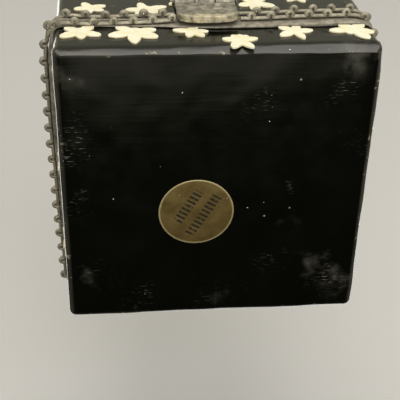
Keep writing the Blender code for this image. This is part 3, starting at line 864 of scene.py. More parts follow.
def hollow_shell(name, low, high, open_up):
    bpy.ops.mesh.primitive_cube_add(size=1, location=(0, 0, (low + high) / 2))
    bpy.context.object.scale = (2 * HALF, 2 * HALF, high - low)
    piece = new_piece(name)
    side = 1 if open_up else -1
    mouth = high if open_up else low
    closed = low if open_up else high

    bpy.ops.object.mode_set(mode="EDIT")
    pick(piece, "FACE", lambda face: face.normal.z * side > 0.9)
    bpy.ops.mesh.inset(thickness=WALL, depth=0)
    depth = high - low - PANEL
    bpy.ops.mesh.extrude_region_move(TRANSFORM_OT_translate={"value": (0, 0, -side * depth)})

    def outer(vert):
        return max(abs(vert.co.x), abs(vert.co.y)) > HALF - 0.01 * MM

    def rounded(edge):
        first, second = edge.verts
        upright = abs(first.co.z - second.co.z) > abs(first.co.x - second.co.x) + abs(
            first.co.y - second.co.y
        )
        at_closed = all(abs(v.co.z - closed) < 0.01 * MM for v in edge.verts)
        return outer(first) and outer(second) and (upright or at_closed)

    pick(piece, "EDGE", rounded)
    bpy.ops.mesh.bevel(
        offset=EDGE_ROUND, offset_type="OFFSET", segments=6, profile=0.5, affect="EDGES"
    )

    def rim(edge):
        level = all(abs(v.co.z - mouth) < 0.01 * MM for v in edge.verts)
        return level and len(edge.link_faces) == 2 and edge.calc_face_angle() > 0.8

    pick(piece, "EDGE", rim)
    bpy.ops.mesh.bevel(
        offset=RIM_ROUND, offset_type="OFFSET", segments=3, profile=0.5, affect="EDGES"
    )
    divide_long_edges(piece, 2.5 * MM)
    bpy.ops.object.mode_set(mode="OBJECT")
    return piece


print("a shell is a cube, an inset, an extrusion and two bevels")

# %% Body and lid shells
def weight_edges(piece, low, high, width):
    """A vertex group that is 1 at the outer edges and fades to 0 over a given width inside them."""
    group = piece.vertex_groups.new(name="edges")
    for vert in piece.data.vertices:
        from_faces = sorted(
            (HALF - abs(vert.co.x), HALF - abs(vert.co.y), min(vert.co.z - low, high - vert.co.z))
        )
        near = 1 - min(max(from_faces[1], 0) / width, 1)
        group.add([vert.index], near * near, "REPLACE")


def sand_down(piece, closed, inwards):
    """Makes the front's rounded edge flatter, slightly wavy and reach further up the wall."""
    for vert in piece.data.vertices:
        from_front = vert.co.y + HALF
        from_end = (vert.co.z - closed) * inwards
        from_side = HALF - abs(vert.co.x)
        if min(from_front, from_end, from_side) > EDGE_ROUND + 0.1 * MM or from_front > SANDED_TO:
            continue
        rightwards = (vert.co.x + HALF) / (2 * HALF)
        waves = noise.noise((vert.co.x / (7 * MM), 0.0, closed / MM))
        tall = (2.5 + 1.2 * rightwards + 0.25 * waves) * MM
        deep = (0.75 + 0.45 * rightwards + 0.20 * waves) * MM
        fade = 1 - max(from_front - EDGE_ROUND, 0) / (SANDED_TO - EDGE_ROUND)
        to_front = max(EDGE_ROUND - from_front, 0)
        to_end = max(EDGE_ROUND - from_end, 0)
        to_side = max(EDGE_ROUND - from_side, 0)
        if to_front > 0 and to_end > 0:
            down = math.atan2(to_end, to_front) / (math.pi / 2)
            facing = to_front / math.hypot(to_front, to_side)
            up = tall * (
                FLATTENED * (1 - down) + (1 - FLATTENED) * (1 - math.sin(down * math.pi / 2))
            )
            back = deep * (FLATTENED * down + (1 - FLATTENED) * (1 - math.cos(down * math.pi / 2)))
            sideways = from_end * tall / EDGE_ROUND
            up = facing * up + (1 - facing) * sideways
            back = facing * back + (1 - facing) * from_front
        elif from_end < EDGE_ROUND:
            up = from_end * (1 + (tall / EDGE_ROUND - 1) * fade)
            back = from_front
            if from_end < 0.05 * MM and from_side > EDGE_ROUND:
                back = deep + (from_front - EDGE_ROUND) * (SANDED_TO - deep) / (
                    SANDED_TO - EDGE_ROUND
                )
        elif from_front < EDGE_ROUND + 0.1 * MM and from_end < SANDED_TO:
            up = tall + (from_end - EDGE_ROUND) * (SANDED_TO - tall) / (SANDED_TO - EDGE_ROUND)
            back = from_front
        else:
            continue
        vert.co.y = back - HALF
        vert.co.z = closed + inwards * up


def lacquered_shell(name, low, high, open_up, material, body, nodes):
    piece = hollow_shell(name, low, high, open_up)
    sand_down(piece, low if open_up else high, 1 if open_up else -1)
    weight_edges(piece, low, high, 9 * MM)
    roughen(piece, 11 * MM, 0.55 * MM, "edges")
    close_up(piece, 35)
    belongs(piece, body, "black_lacquer", material, *nodes)
    print(f"{name}: {len(piece.data.polygons)} faces")
    return piece


lacquered_shell(
    "body_shell",
    0.0,
    BODY_TOP,
    True,
    BODY_LACQUER,
    "body",
    ["bottom_panel", "body_front_wall", "body_back_wall", "body_left_wall", "body_right_wall"],
)
lacquered_shell(
    "lid_shell",
    LID_BOTTOM,
    TOTAL_HEIGHT,
    False,
    LID_LACQUER,
    "lid",
    ["lid_top_panel", "lid_front_wall", "lid_back_wall", "lid_left_wall", "lid_right_wall"],
)

# %% [markdown]
# ## The label
#
# A paper-thin disc, cut by a punch: a short cylinder whose face is inset once, so its pressed
# border stands a hair lower than the middle, and whose edge is bevelled. It lies on the base with
# its printed face outwards.

# %% Sticker
LABEL_PROUD = 0.06 * MM
LABEL_THICKNESS = 0.16 * MM
bpy.ops.mesh.primitive_cylinder_add(
    vertices=120,
    radius=STICKER_RADIUS - 0.05 * MM,
    depth=LABEL_THICKNESS,
    location=(STICKER_MIDDLE[0], STICKER_MIDDLE[1], LABEL_THICKNESS / 2 - LABEL_PROUD),
)
sticker = new_piece("foil_label")
bpy.ops.object.mode_set(mode="EDIT")
pick(sticker, "FACE", lambda face: face.normal.z < -0.9)
bpy.ops.mesh.inset(thickness=0.45 * MM, depth=0)
bpy.ops.mesh.inset(thickness=0.08 * MM, depth=0.015 * MM)
bpy.ops.mesh.inset(thickness=4.0 * MM, depth=0)
bpy.ops.mesh.inset(thickness=3.0 * MM, depth=0)
pick(sticker, "EDGE", lambda edge: edge.calc_face_angle(0) > 1.0)
bpy.ops.mesh.bevel(offset=0.03 * MM, segments=2, profile=0.5, affect="EDGES")
bpy.ops.object.mode_set(mode="OBJECT")
close_up(sticker, 50)
belongs(sticker, "body", "gold_foil", GOLD_FOIL, "foil_sticker")
print(f"label: {len(sticker.data.polygons)} faces, stands {LABEL_PROUD / MM:.2f} mm proud")

# %% [markdown]
# ## Following the rim
#
# The bands and the looped wires run round the rim, from beside the clasp, round two corners, to
# beside the hinge. `rim_point` walks that way and says where one is. The real trim was bent and
# soldered by hand and stands off the wood by a different amount all round, so a small table says
# how much further out it is at each distance from the middle of the front, and `eased` blends
# smoothly between its rows.

# %% The path round the rim
STRAIGHT = HALF - EDGE_ROUND
SLACK = {  # distance from the middle of the front in mm, and how much further out the trim stands
    -1: [
        (8, 0.05),
        (28, -0.28),
        (37, 0.30),
        (46, 1.45),
        (62, 1.50),
        (84, 1.05),
        (112, 0.35),
        (150, 0.0),
    ],
    1: [(8, 0.10), (24, 0.55), (33, 0.70), (39, -0.15), (52, -0.35), (110, -0.2), (150, 0.0)],
}
WIRE_LEVEL = {  # how much higher or lower the body's wire runs there
    -1: [(8, -0.2), (16, -1.1), (34, -1.5), (44, -0.6), (60, 0.0), (150, 0.0)],
    1: [(0, 0.0), (150, 0.0)],
}
BAND_EDGE = {  # and how much higher or lower the body band's lower edge runs there
    -1: [(6, -0.7), (14, 0.5), (34, 1.2), (60, 0.2), (90, -0.1), (150, 0.0)],
    1: [(0, -0.9), (10, -0.85), (22, -0.6), (34, -0.25), (60, 0.1), (150, 0.0)],
}


def eased(table, at):
    """Blends smoothly between the rows of a table of (place, value), all in millimetres."""
    at = at / MM
    if at <= table[0][0]:
        return table[0][1] * MM
    for (start, low), (end, high) in zip(table, table[1:]):
        if at <= end:
            share = (at - start) / (end - start)
            return (low + (high - low) * share * share * (3 - 2 * share)) * MM
    return table[-1][1] * MM


def rim_lengths(reach, bend=None):
    """Lengths of the five stretches of half the rim, from mid front to mid back."""
    bend = bend or EDGE_ROUND + reach
    straight = HALF + reach - bend
    turn = bend * math.pi / 2
    return [straight, turn, 2 * straight, turn, straight]


def rim_point(along, reach, side, out=0.0, bend=None):
    """The point that far along half the rim, going to side (1 right, -1 left), out further
    than reach."""
    straight, arc, flank, _, _ = rim_lengths(reach, bend)
    bend = bend or EDGE_ROUND + reach
    if along <= straight:
        x, y, angle = along, -straight, -math.pi / 2
    elif along <= straight + arc:
        x, y, angle = straight, -straight, -math.pi / 2 + (along - straight) / bend
    elif along <= straight + arc + flank:
        x, y, angle = straight, -straight + along - straight - arc, 0.0
    elif along <= straight + 2 * arc + flank:
        x, y, angle = straight, straight, (along - straight - arc - flank) / bend
    else:
        x, y, angle = straight - (along - straight - 2 * arc - flank), straight, math.pi / 2
    return side * (x + math.cos(angle) * (bend + out)), y + math.sin(angle) * (bend + out)


def travelled(x, y):
    """How far round half the rim a point near it is, and which half."""
    side = 1 if x >= 0 else -1
    if abs(x) <= STRAIGHT:
        return side, abs(x) if y < 0 else 4 * HALF - abs(x)
    return side, HALF + min(max(y + HALF, 0.0), 2 * HALF)


print(f"half the rim is {sum(rim_lengths(0)) / MM:.0f} mm long")

# %% [markdown]
# ## Flowers
#
# Each flower is a thin bone-coloured pressing with five tongue-shaped petals, glued to the wood.
# One petal is modelled, as a thin cylinder stretched into an oval and pinched towards its foot,
# and copied round a small disc, each copy at its own angle and length. A voxel remesh melts them
# into one skin with rounded edges. No two pressings are alike, so each flower has its own petal
# lengths, from its own row or from seeded random numbers.

# %% One petal
FLOWER_DEPTH = 0.62 * MM
BURIED = 0.15 * MM
PETALS = 5


def master_petal():
    """A petal one unit long that points along +Y from the origin, as thick as the pressing."""
    clear_selection()
    bpy.ops.mesh.primitive_cylinder_add(
        vertices=48, radius=0.5, depth=FLOWER_DEPTH, location=(0, 0.5, 0)
    )
    piece = new_piece("petal_master")
    for vert in piece.data.vertices:
        foot = max(0.55 - vert.co.y, 0) / 0.55
        tip = max(vert.co.y - 0.5, 0) / 0.5
        vert.co.x *= 1 - 0.20 * foot - 0.15 * tip
    return piece


def press_flower(name, petal, radius, petals, seed):
    """Petal copies, each at its angle and length, and a disc, melted into one flat flower."""
    draw = random.Random(seed)
    pieces = []
    for degrees, length_mm in petals:
        make_active(petal)
        bpy.ops.object.duplicate(linked=False)
        copy = bpy.context.object
        width = radius * draw.uniform(0.47, 0.57)
        copy.matrix_world = (
            Matrix.Rotation(-math.radians(degrees), 4, "Z")
            @ Matrix.Translation((0, 0, FLOWER_DEPTH / 2))
            @ Matrix.Rotation(draw.uniform(0.0, 0.03), 4, "X")
            @ Matrix.Diagonal((width, length_mm * MM, 1, 1))
        )
        pieces.append(copy)
    clear_selection()
    bpy.ops.mesh.primitive_cylinder_add(
        vertices=40, radius=radius * 0.42, depth=FLOWER_DEPTH, location=(0, 0, FLOWER_DEPTH / 2)
    )
    pieces.append(bpy.context.object)
    flower = join_pieces(name, pieces)
    make_active(flower)
    bpy.ops.object.transform_apply(location=True, rotation=True, scale=True)
    one_skin(flower, 0.13 * MM, 3)
    roughen(flower, 1.7 * MM, 0.10 * MM)
    return flower


petal = master_petal()
print(f"petal: {len(petal.data.vertices)} points, {FLOWER_DEPTH / MM} mm thick")

# %% [markdown]
# A flower is placed by its face, its share of the half width along that face, its share of the
# way up the wood, its radius and its turn. The flowers of the front wall also say which way each
# petal points, in degrees clockwise from straight up, and how long it is in millimetres. Flowers
# near the rim were put on before the metal band, so the band covers their tips: here a bisect
# cuts them off just under its edge and closes the cut.

# %% Where the flowers go
BODY_FLOWERS = {
    "front": [
        (-0.835, 0.65, 5.2, 36, ((40, 4.5), (117, 5.4), (175, 4.2), (236, 5.6), (300, 4.4))),
        (-0.51, 0.60, 6.2, 36, ((76, 5.5), (120, 6.4), (179, 6.4), (250, 6.3), (312, 5.5))),
        (-0.155, 0.62, 4.2, 58, ((20, 4.0), (95, 4.1), (140, 4.4), (195, 3.7), (277, 4.4))),
        (
            0.13,
            0.285,
            4.6,
            0,
            ((-32, 3.1), (4, 2.9), (40, 3.2), (82, 4.3), (151, 5.3), (206, 5.0), (278, 4.2)),
        ),
        (0.49, 0.56, 4.6, 15, ((15, 4.4), (84, 4.4), (163, 4.9), (235, 4.9), (308, 4.5))),
        (0.85, 0.58, 5.6, 50, ((45, 5.0), (112, 5.4), (152, 6.4), (266, 5.6), (330, 4.6))),
    ],
    "left": [
        (0.79, 0.56, 4.4, 20), (0.18, 0.36, 4.2, 50), (-0.12, 0.55, 3.8, 8), (-0.46, 0.40, 4.8, 33)
    ],
    "right": [(-0.78, 0.45, 4.6, 12), (-0.38, 0.36, 4.0, 50), (0.32, 0.42, 4.9, 27)],
    "back": [(0.68, 0.42, 5.0, 10), (-0.62, 0.38, 4.4, 44)],
}
LID_FLOWERS = {
    "front": [
        (-0.79, 0.43, 4.2, 36, ((74, 4.4), (120, 4.4), (180, 4.0), (251, 3.8), (335, 3.4))),
        (-0.43, 0.35, 5.2, 0, ((75, 5.8), (128, 5.2), (205, 4.8), (264, 4.8), (345, 4.4))),
        (0.30, 0.52, 5.2, 40, ((40, 4.8), (118, 5.6), (184, 6.0), (250, 4.4), (325, 4.6))),
        (0.60, 0.69, 4.0, 15),
    ],
    "left": [(0.55, 0.55, 4.6, 28), (-0.35, 0.48, 5.0, 5)],
    "right": [(-0.45, 0.50, 5.0, 40), (0.40, 0.56, 4.3, 15)],
    "top": [
        (0.0, 0.0, 8.0, 0),
        (-0.56, 0.52, 6.0, 30),
        (0.55, 0.50, 6.6, 12),
        (-0.52, -0.55, 6.8, 48),
        (0.57, -0.52, 5.8, 20),
    ],
}
FACE_TURN = {"front": (1, 0), "back": (1, 180), "left": (1, -90), "right": (1, 90), "top": (0, 0)}
BODY_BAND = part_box("body_rim_band")
LID_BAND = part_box("lid_rim_band")


def cut_off(piece, place, direction):
    """Cuts away what lies beyond a plane, where direction points, and closes the cut."""
    make_active(piece)
    bpy.ops.object.mode_set(mode="EDIT")
    bpy.ops.mesh.select_all(action="SELECT")
    bpy.ops.mesh.bisect(plane_co=place, plane_no=direction, use_fill=True, clear_outer=True)
    bpy.ops.object.mode_set(mode="OBJECT")


def flower_middle(face, along, up):
    out = HALF - BURIED
    return {
        "front": (along, -out, up),
        "back": (-along, out, up),
        "left": (-out, -along, up),
        "right": (out, along, up),
        "top": (along, up, TOTAL_HEIGHT - BURIED),
    }[face]


def lay_on_face(piece, face, along, up):
    standing, heading = FACE_TURN[face]
    piece.matrix_world = (
        Matrix.Translation(flower_middle(face, along, up))
        @ Matrix.Rotation(math.radians(heading), 4, "Z")
        @ Matrix.Rotation(standing * math.pi / 2, 4, "X")
    )
    make_active(piece)
    bpy.ops.object.transform_apply(location=True, rotation=True, scale=True)


def uneven_petals(radius_mm, turn, draw):
    """Five petals a fifth of a turn apart, each a little off in angle and length."""
    step = 360 / PETALS
    return [
        (turn + i * step + draw.uniform(-5, 5), radius_mm * draw.uniform(0.90, 1.03))
        for i in range(PETALS)
    ]


def every_flower():
    """Each flower as body, name, face, place along and up in metres, radius and petals."""
    draw = random.Random(41)
    rows = []
    for body, table, low, high in (
        ("body", BODY_FLOWERS, 0.0, BODY_TOP),
        ("lid", LID_FLOWERS, LID_BOTTOM, TOTAL_HEIGHT),
    ):
        for face, placed in table.items():
            for i, (share, rise, radius, turn, *own) in enumerate(placed):
                up = rise * HALF if face == "top" else low + rise * (high - low)
                petals = own[0] if own else uneven_petals(radius, turn, draw)
                name = f"flower_{body}_{face}_{i + 1}"
                rows.append((body, name, face, share * HALF, up, radius * MM, petals))
    return rows


print(len(every_flower()), "flowers to press")

# %% Press and place the flowers
UNDER_BAND = 0.08 * MM

flower_pieces = []
for number, (body, node, face, along, up, radius, petals) in enumerate(every_flower()):
    piece = press_flower(node + "_pressed", petal, radius, petals, number)
    lay_on_face(piece, face, along, up)
    middle = flower_middle(face, along, up)
    side, distance = travelled(middle[0], middle[1])
    band_low = BODY_BAND[LOW][2] + eased(BAND_EDGE[side], distance)
    if body == "body" and up + radius > band_low:
        cut_off(piece, (0, 0, band_low - UNDER_BAND), (0, 0, 1))
    if body == "lid" and face != "top" and up - 1.2 * radius < LID_BAND[HIGH][2]:
        cut_off(piece, (0, 0, LID_BAND[HIGH][2] + UNDER_BAND), (0, 0, -1))
    close_up(piece, 60)
    belongs(piece, body, "ivory_resin", IVORY, node)
    flower_pieces.append(piece)

CLASP_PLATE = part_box("clasp_plate")
CLASP_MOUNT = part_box("clasp_mount")
tucked = press_flower(
    "flower_lid_front_tucked", petal, 4.4 * MM, uneven_petals(4.4, 25, random.Random(7)), 99
)
lay_on_face(tucked, "front", -6.6 * MM, 30.0 * MM)
cut_off(tucked, (CLASP_MOUNT[LOW][0] - UNDER_BAND, 0, 0), (1, 0, 0))
cut_off(tucked, (0, 0, LID_BAND[HIGH][2] + UNDER_BAND), (0, 0, -1))
close_up(tucked, 60)
belongs(tucked, "lid", "ivory_resin", IVORY)
bpy.data.objects.remove(petal, do_unlink=True)
print(f"{len(flower_pieces) + 1} flowers")

# %% [markdown]
# ## Metal bands
#
# Under the looped wire runs a thin flat strip, bent round the rim and open at the back where the
# hinge sits. It starts as a cube without top or bottom: a bevel rounds its four uprights, a
# bisect on each side of the hinge frees the stretch that goes, and a Solidify modifier gives the
# sheet its thickness.

# %% Bands
BAND_SKIN = 0.12 * MM
BAND_THICKNESS = 0.35 * MM
# Where the wire stands off the wood, solder fills the strip out to nearly as far.
BAND_FOLLOWS = 0.9
HINGE_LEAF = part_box("hinge_body_leaf")
HINGE_GAP = HINGE_LEAF[HIGH][0] + 0.3 * MM


def rim_band(name, node, body, lower_edge):
    low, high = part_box(node)
    bpy.ops.mesh.primitive_cube_add(size=1, location=(0, 0, (low[2] + high[2]) / 2))
    span = 2 * (HALF + BAND_SKIN)
    bpy.context.object.scale = (span, span, high[2] - low[2])
    piece = new_piece(name)
    bpy.ops.object.mode_set(mode="EDIT")
    pick(piece, "FACE", lambda face: abs(face.normal.z) > 0.9)
    bpy.ops.mesh.delete(type="FACE")
    pick(piece, "EDGE", lambda edge: abs(edge.verts[0].co.z - edge.verts[1].co.z) > 1 * MM)
    bpy.ops.mesh.bevel(offset=EDGE_ROUND + BAND_SKIN, segments=8, profile=0.5, affect="EDGES")
    for x in (-HINGE_GAP, HINGE_GAP):
        bpy.ops.mesh.select_all(action="SELECT")
        bpy.ops.mesh.bisect(plane_co=(x, 0, 0), plane_no=(1, 0, 0))
    pick(
        piece,
        "FACE",
        lambda face: face.calc_center_median().y > 0
        and abs(face.calc_center_median().x) < HINGE_GAP,
    )
    bpy.ops.mesh.delete(type="FACE")
    divide_long_edges(piece, 1.6 * MM)
    bpy.ops.object.mode_set(mode="OBJECT")

    for vert in piece.data.vertices:
        side, distance = travelled(vert.co.x, vert.co.y)
        share = (high[2] - vert.co.z) / (high[2] - low[2])
        vert.co.z += eased(lower_edge[side], distance) * max(share, 0) ** 2
    modify(piece, "SOLIDIFY", thickness=BAND_THICKNESS, offset=1, use_even_offset=True)
    apply_modifiers(piece)
    for vert in piece.data.vertices:
        side, distance = travelled(vert.co.x, vert.co.y)
        core = Vector(
            (
                max(-STRAIGHT, min(STRAIGHT, vert.co.x)),
                max(-STRAIGHT, min(STRAIGHT, vert.co.y)),
                vert.co.z,
            )
        )
        outwards = vert.co - core
        if outwards.length > EDGE_ROUND + BAND_SKIN + BAND_THICKNESS / 2:
            vert.co += outwards.normalized() * max(BAND_FOLLOWS * eased(SLACK[side], distance), 0)
    modify(
        piece,
        "BEVEL",
        width=0.09 * MM,
        segments=2,
        limit_method="ANGLE",
        angle_limit=math.radians(40),
    )
    apply_modifiers(piece)
    roughen(piece, 3.0 * MM, 0.10 * MM)
    close_up(piece, 50)
    belongs(piece, body, "aged_pewter", PEWTER, node)
    print(f"{name}: {len(piece.data.polygons)} faces")
    return piece


LEVEL_EDGE = {-1: [(0, 0.0)], 1: [(0, 0.0)]}
rim_band("body_band", "body_rim_band", "body", BAND_EDGE)
rim_band("lid_band", "lid_rim_band", "lid", LEVEL_EDGE)

# %% [markdown]
# ## Looped wires
#
# The trim itself is one wire bent into a small round loop every few millimetres, like an eyelet
# tape. A bend is drawn as points on most of a circle and a straight run between two circles. The
# points make a curve, the curve gets a round section, and it becomes a mesh. Seeded random
# numbers make each loop a little different, the same way each time.

# %% Wires
WIRE_RADIUS = 0.50 * MM
LOOP_RADIUS = 0.68 * MM
LOOP_MOUTH = math.radians(52)
LOOP_PITCH = 4.6 * MM
LOOP_POINTS = 12
WIRE_STEP = 0.7 * MM
WIRE_REACH = 1.02 * MM
WIRE_BEND = 4.4 * MM
WIRES = [  # body, side, first loop from the middle of the front in mm, seed
    ("body", -1, 10.15, 3),
    ("body", 1, 9.0, 5),
    ("lid", -1, 12.2, 7),
    ("lid", 1, 10.64, 9),
]


def wire_points(side, start, first, end, level, drift, draw):
    """Centre line of half a looped wire: straight runs with an almost closed circle every pitch."""
    stops = []
    along = first
    while along + LOOP_PITCH / 3 < end:
        stops.append(along + draw.uniform(-0.12, 0.12) * MM)
        along += LOOP_PITCH
    points = []
    reached = start
    for stop in [*stops, None]:
        until = end if stop is None else stop - LOOP_RADIUS
        count = max(int((until - reached) / WIRE_STEP), 1)
        for i in range(count + 1):
            place = reached + (until - reached) * i / count
            points.append((place, 0.0, 0.0))
        if stop is None:
            break
        radius = LOOP_RADIUS * draw.uniform(0.94, 1.06)
        lean = draw.uniform(-0.12, 0.12) * MM
        sweep = math.pi + 2 * LOOP_MOUTH
        for i in range(LOOP_POINTS + 1):
            angle = math.pi + LOOP_MOUTH - sweep * i / LOOP_POINTS
            out = radius * (math.sin(LOOP_MOUTH) + math.sin(angle))
            points.append((stop + radius * math.cos(angle), out, lean * out / radius))
        reached = stop + LOOP_RADIUS
    path = []
    for place, out, lift in points:
        slack = eased(SLACK[side], place)
        x, y = rim_point(place, WIRE_REACH, side, out + slack, WIRE_BEND)
        path.append((x, y, level + lift + eased(drift[side], place)))
    return path, stops


def round_wire(name, path, radius, body, node):
    curve = bpy.data.curves.new(name, "CURVE")
    curve.dimensions = "3D"
    curve.bevel_depth = radius
    curve.bevel_resolution = 2
    curve.use_fill_caps = True
    spline = curve.splines.new("POLY")
    spline.points.add(len(path) - 1)
    for point, place in zip(spline.points, path):
        point.co = (*place, 1)
    drawn = bpy.data.objects.new(name, curve)
    bpy.context.collection.objects.link(drawn)
    make_active(drawn)
    bpy.ops.object.convert(target="MESH")
    piece = bpy.context.object
    piece.name = piece.data.name = name
    roughen(piece, 1.1 * MM, 0.12 * MM)
    close_up(piece, 80)
    belongs(piece, body, "aged_pewter", WIRE_PEWTER, node)
    return piece


print(f"a loop every {LOOP_PITCH / MM} mm")

# %% Bend the four wires
wire_stops = {}
for body, side, first, seed in WIRES:
    side_name = "left" if side < 0 else "right"
    node = f"{body}_loop_wire_{side_name}"
    low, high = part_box(node)
    level = (low[2] + high[2]) / 2
    clasp_side = max(side * CLASP_PLATE[LOW][0], side * CLASP_PLATE[HIGH][0])
    start = clasp_side + 0.5 * MM
    end = sum(rim_lengths(WIRE_REACH, WIRE_BEND)) - HINGE_GAP - 0.4 * MM
    drift = WIRE_LEVEL if body == "body" else LEVEL_EDGE
    path, stops = wire_points(side, start, first * MM, end, level, drift, random.Random(seed))
    piece = round_wire(f"{body}_wire_{side_name}", path, WIRE_RADIUS, body, node)
    wire_stops[body, side] = (stops, level)
    print(f"{piece.name}: {len(stops)} loops, {len(piece.data.polygons)} faces")

# %% [markdown]
# ## Clasp and hinge metal
#
# The clasp is a small cast plate that hangs from a pin on the lid, with a thick lip along its
# bowed lower edge. The hinge is two leaves with knuckles on one pin. All are soft castings whose
# edges have worn round, so each is put together from blocks and rods that overlap, melted into
# one skin by a fine voxel remesh and smoothed a little.

# %% Blocks and rods
def block(low, high):
    clear_selection()
    middle = [(a + b) / 2 for a, b in zip(low, high)]
    bpy.ops.mesh.primitive_cube_add(size=1, location=middle)
    bpy.context.object.scale = [b - a for a, b in zip(low, high)]
    return new_piece("block")


def rod_along_x(first, last, y, z, radius, sides=40):
    clear_selection()
    bpy.ops.mesh.primitive_cylinder_add(
        vertices=sides,
        radius=radius,
        depth=last - first,
        location=((first + last) / 2, y, z),
        rotation=(0, math.pi / 2, 0),
    )
    return new_piece("rod")


def spans_along_x(low, high, count, gap):
    """Where each of a row of knuckles lies."""
    length = (high - low - (count - 1) * gap) / count
    return [(low + i * (length + gap), low + i * (length + gap) + length) for i in range(count)]


KNUCKLE_GAP = 0.3 * MM
CLASP_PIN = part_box("clasp_pin")
HINGE_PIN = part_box("hinge_pin")
clasp_axis = [(a + b) / 2 for a, b in zip(*CLASP_PIN)]
hinge_axis = [(a + b) / 2 for a, b in zip(*HINGE_PIN)]
print(
    "clasp pin at z",
    round(clasp_axis[2] / MM, 2),
    "mm; hinge pin at z",
    round(hinge_axis[2] / MM, 2),
    "mm",
)

# %% Clasp plate
CLASP_KNUCKLE = 1.0 * MM
CLASP_THICKNESS = 0.9 * MM
CLASP_BOW = 1.3 * MM
LIP_HEIGHT = 2.0 * MM
CAST_VOXEL = 0.12 * MM
CORNER_ROUND = 2.0 * MM


def bow_down(piece, middle, half, depth, fade_from, fade_to):
    """Lifts the ends of a lower edge, so that its middle hangs lowest."""
    for vert in piece.data.vertices:
        share = min(abs(vert.co.x - middle) / half, 1)
        fade = min(max((fade_to - vert.co.z) / (fade_to - fade_from), 0), 1)
        vert.co.z += depth * share * share * fade


def trim_corners(piece, left, right, bottom):
    """Draws the two lower corners of the flap in along quarter circles."""
    for vert in piece.data.vertices:
        to_side = min(vert.co.x - left, right - vert.co.x)
        rise = CORNER_ROUND - (vert.co.z - bottom)
        if to_side > CORNER_ROUND or rise <= 0:
            continue
        drawn_in = CORNER_ROUND - math.sqrt(max(CORNER_ROUND**2 - rise**2, 0))
        sign = 1 if vert.co.x < (left + right) / 2 else -1
        vert.co.x += sign * drawn_in * (1 - to_side / CORNER_ROUND)


def clasp_plate():
    low, high = CLASP_PLATE
    left, right = low[0], high[0]
    back = clasp_axis[1] + CLASP_THICKNESS / 2
    front = back - CLASP_THICKNESS
    spans = spans_along_x(left, right, 3, KNUCKLE_GAP)
    top = clasp_axis[2] - CLASP_KNUCKLE - KNUCKLE_GAP
    plate = block((left, front, low[2] + 0.4 * MM), (right, back, top))
    lip = block((left, low[1] + 0.05 * MM, low[2]), (right, back, low[2] + LIP_HEIGHT))
    for piece in (plate, lip):
        make_active(piece)
        bpy.ops.object.mode_set(mode="EDIT")
        divide_long_edges(piece, 1.0 * MM)
        bpy.ops.object.mode_set(mode="OBJECT")
    middle_first, middle_last = spans[1]
    neck = block(
        (middle_first + 0.1 * MM, front + 0.12 * MM, top - 0.8 * MM),
        (middle_last - 0.1 * MM, back - 0.12 * MM, clasp_axis[2]),
    )
    knuckle = rod_along_x(middle_first, middle_last, clasp_axis[1], clasp_axis[2], CLASP_KNUCKLE)
    clear_selection()
    bpy.ops.mesh.primitive_torus_add(
        major_radius=1.35 * MM,
        minor_radius=0.34 * MM,
        major_segments=40,
        minor_segments=12,
        location=(1.2 * MM, front, 20.6 * MM),
        rotation=(math.pi / 2, 0, 0),
    )
    boss = new_piece("boss")
    piece = join_pieces("clasp_flap", [plate, lip, neck, knuckle, boss])
    trim_corners(piece, left, right, low[2])
    bow_down(
        piece,
        (left + right) / 2,
        (right - left) / 2,
        CLASP_BOW,
        low[2] + LIP_HEIGHT,
        low[2] + 5 * MM,
    )
    one_skin(piece, CAST_VOXEL, 6)
    roughen(piece, 1.6 * MM, 0.16 * MM)
    close_up(piece, 60)
    belongs(piece, "clasp", "aged_pewter", FLAP_PEWTER, "clasp_plate")
    return piece


flap = clasp_plate()
print(f"clasp flap: {len(flap.data.polygons)} faces")

# %% Clasp mount
LEAF_THICKNESS = 0.8 * MM


def clasp_mount():
    low, high = CLASP_MOUNT
    left, right = low[0], high[0]
    spans = spans_along_x(left, right, 3, KNUCKLE_GAP)
    back = high[1]
    front = back - LEAF_THICKNESS
    bottom = clasp_axis[2] + CLASP_KNUCKLE + KNUCKLE_GAP
    pieces = [block((left, front, bottom), (right, back, high[2]))]
    for first, last in (spans[0], spans[2]):
        pieces.append(rod_along_x(first, last, clasp_axis[1], clasp_axis[2], CLASP_KNUCKLE))
        pieces.append(
            block(
                (first + 0.1 * MM, clasp_axis[1], clasp_axis[2]),
                (last - 0.1 * MM, back - 0.1 * MM, bottom + CLASP_THICKNESS),
            )
        )
    piece = join_pieces("clasp_holder", pieces)
    one_skin(piece, CAST_VOXEL, 5)
    roughen(piece, 1.6 * MM, 0.14 * MM)
    close_up(piece, 60)
    belongs(piece, "lid", "aged_pewter", PEWTER, "clasp_mount")
    return piece


holder = clasp_mount()
print(f"clasp holder: {len(holder.data.polygons)} faces")

# %% Hinge leaves
HINGE_KNUCKLE = 1.1 * MM
HINGE_KNUCKLES = 5


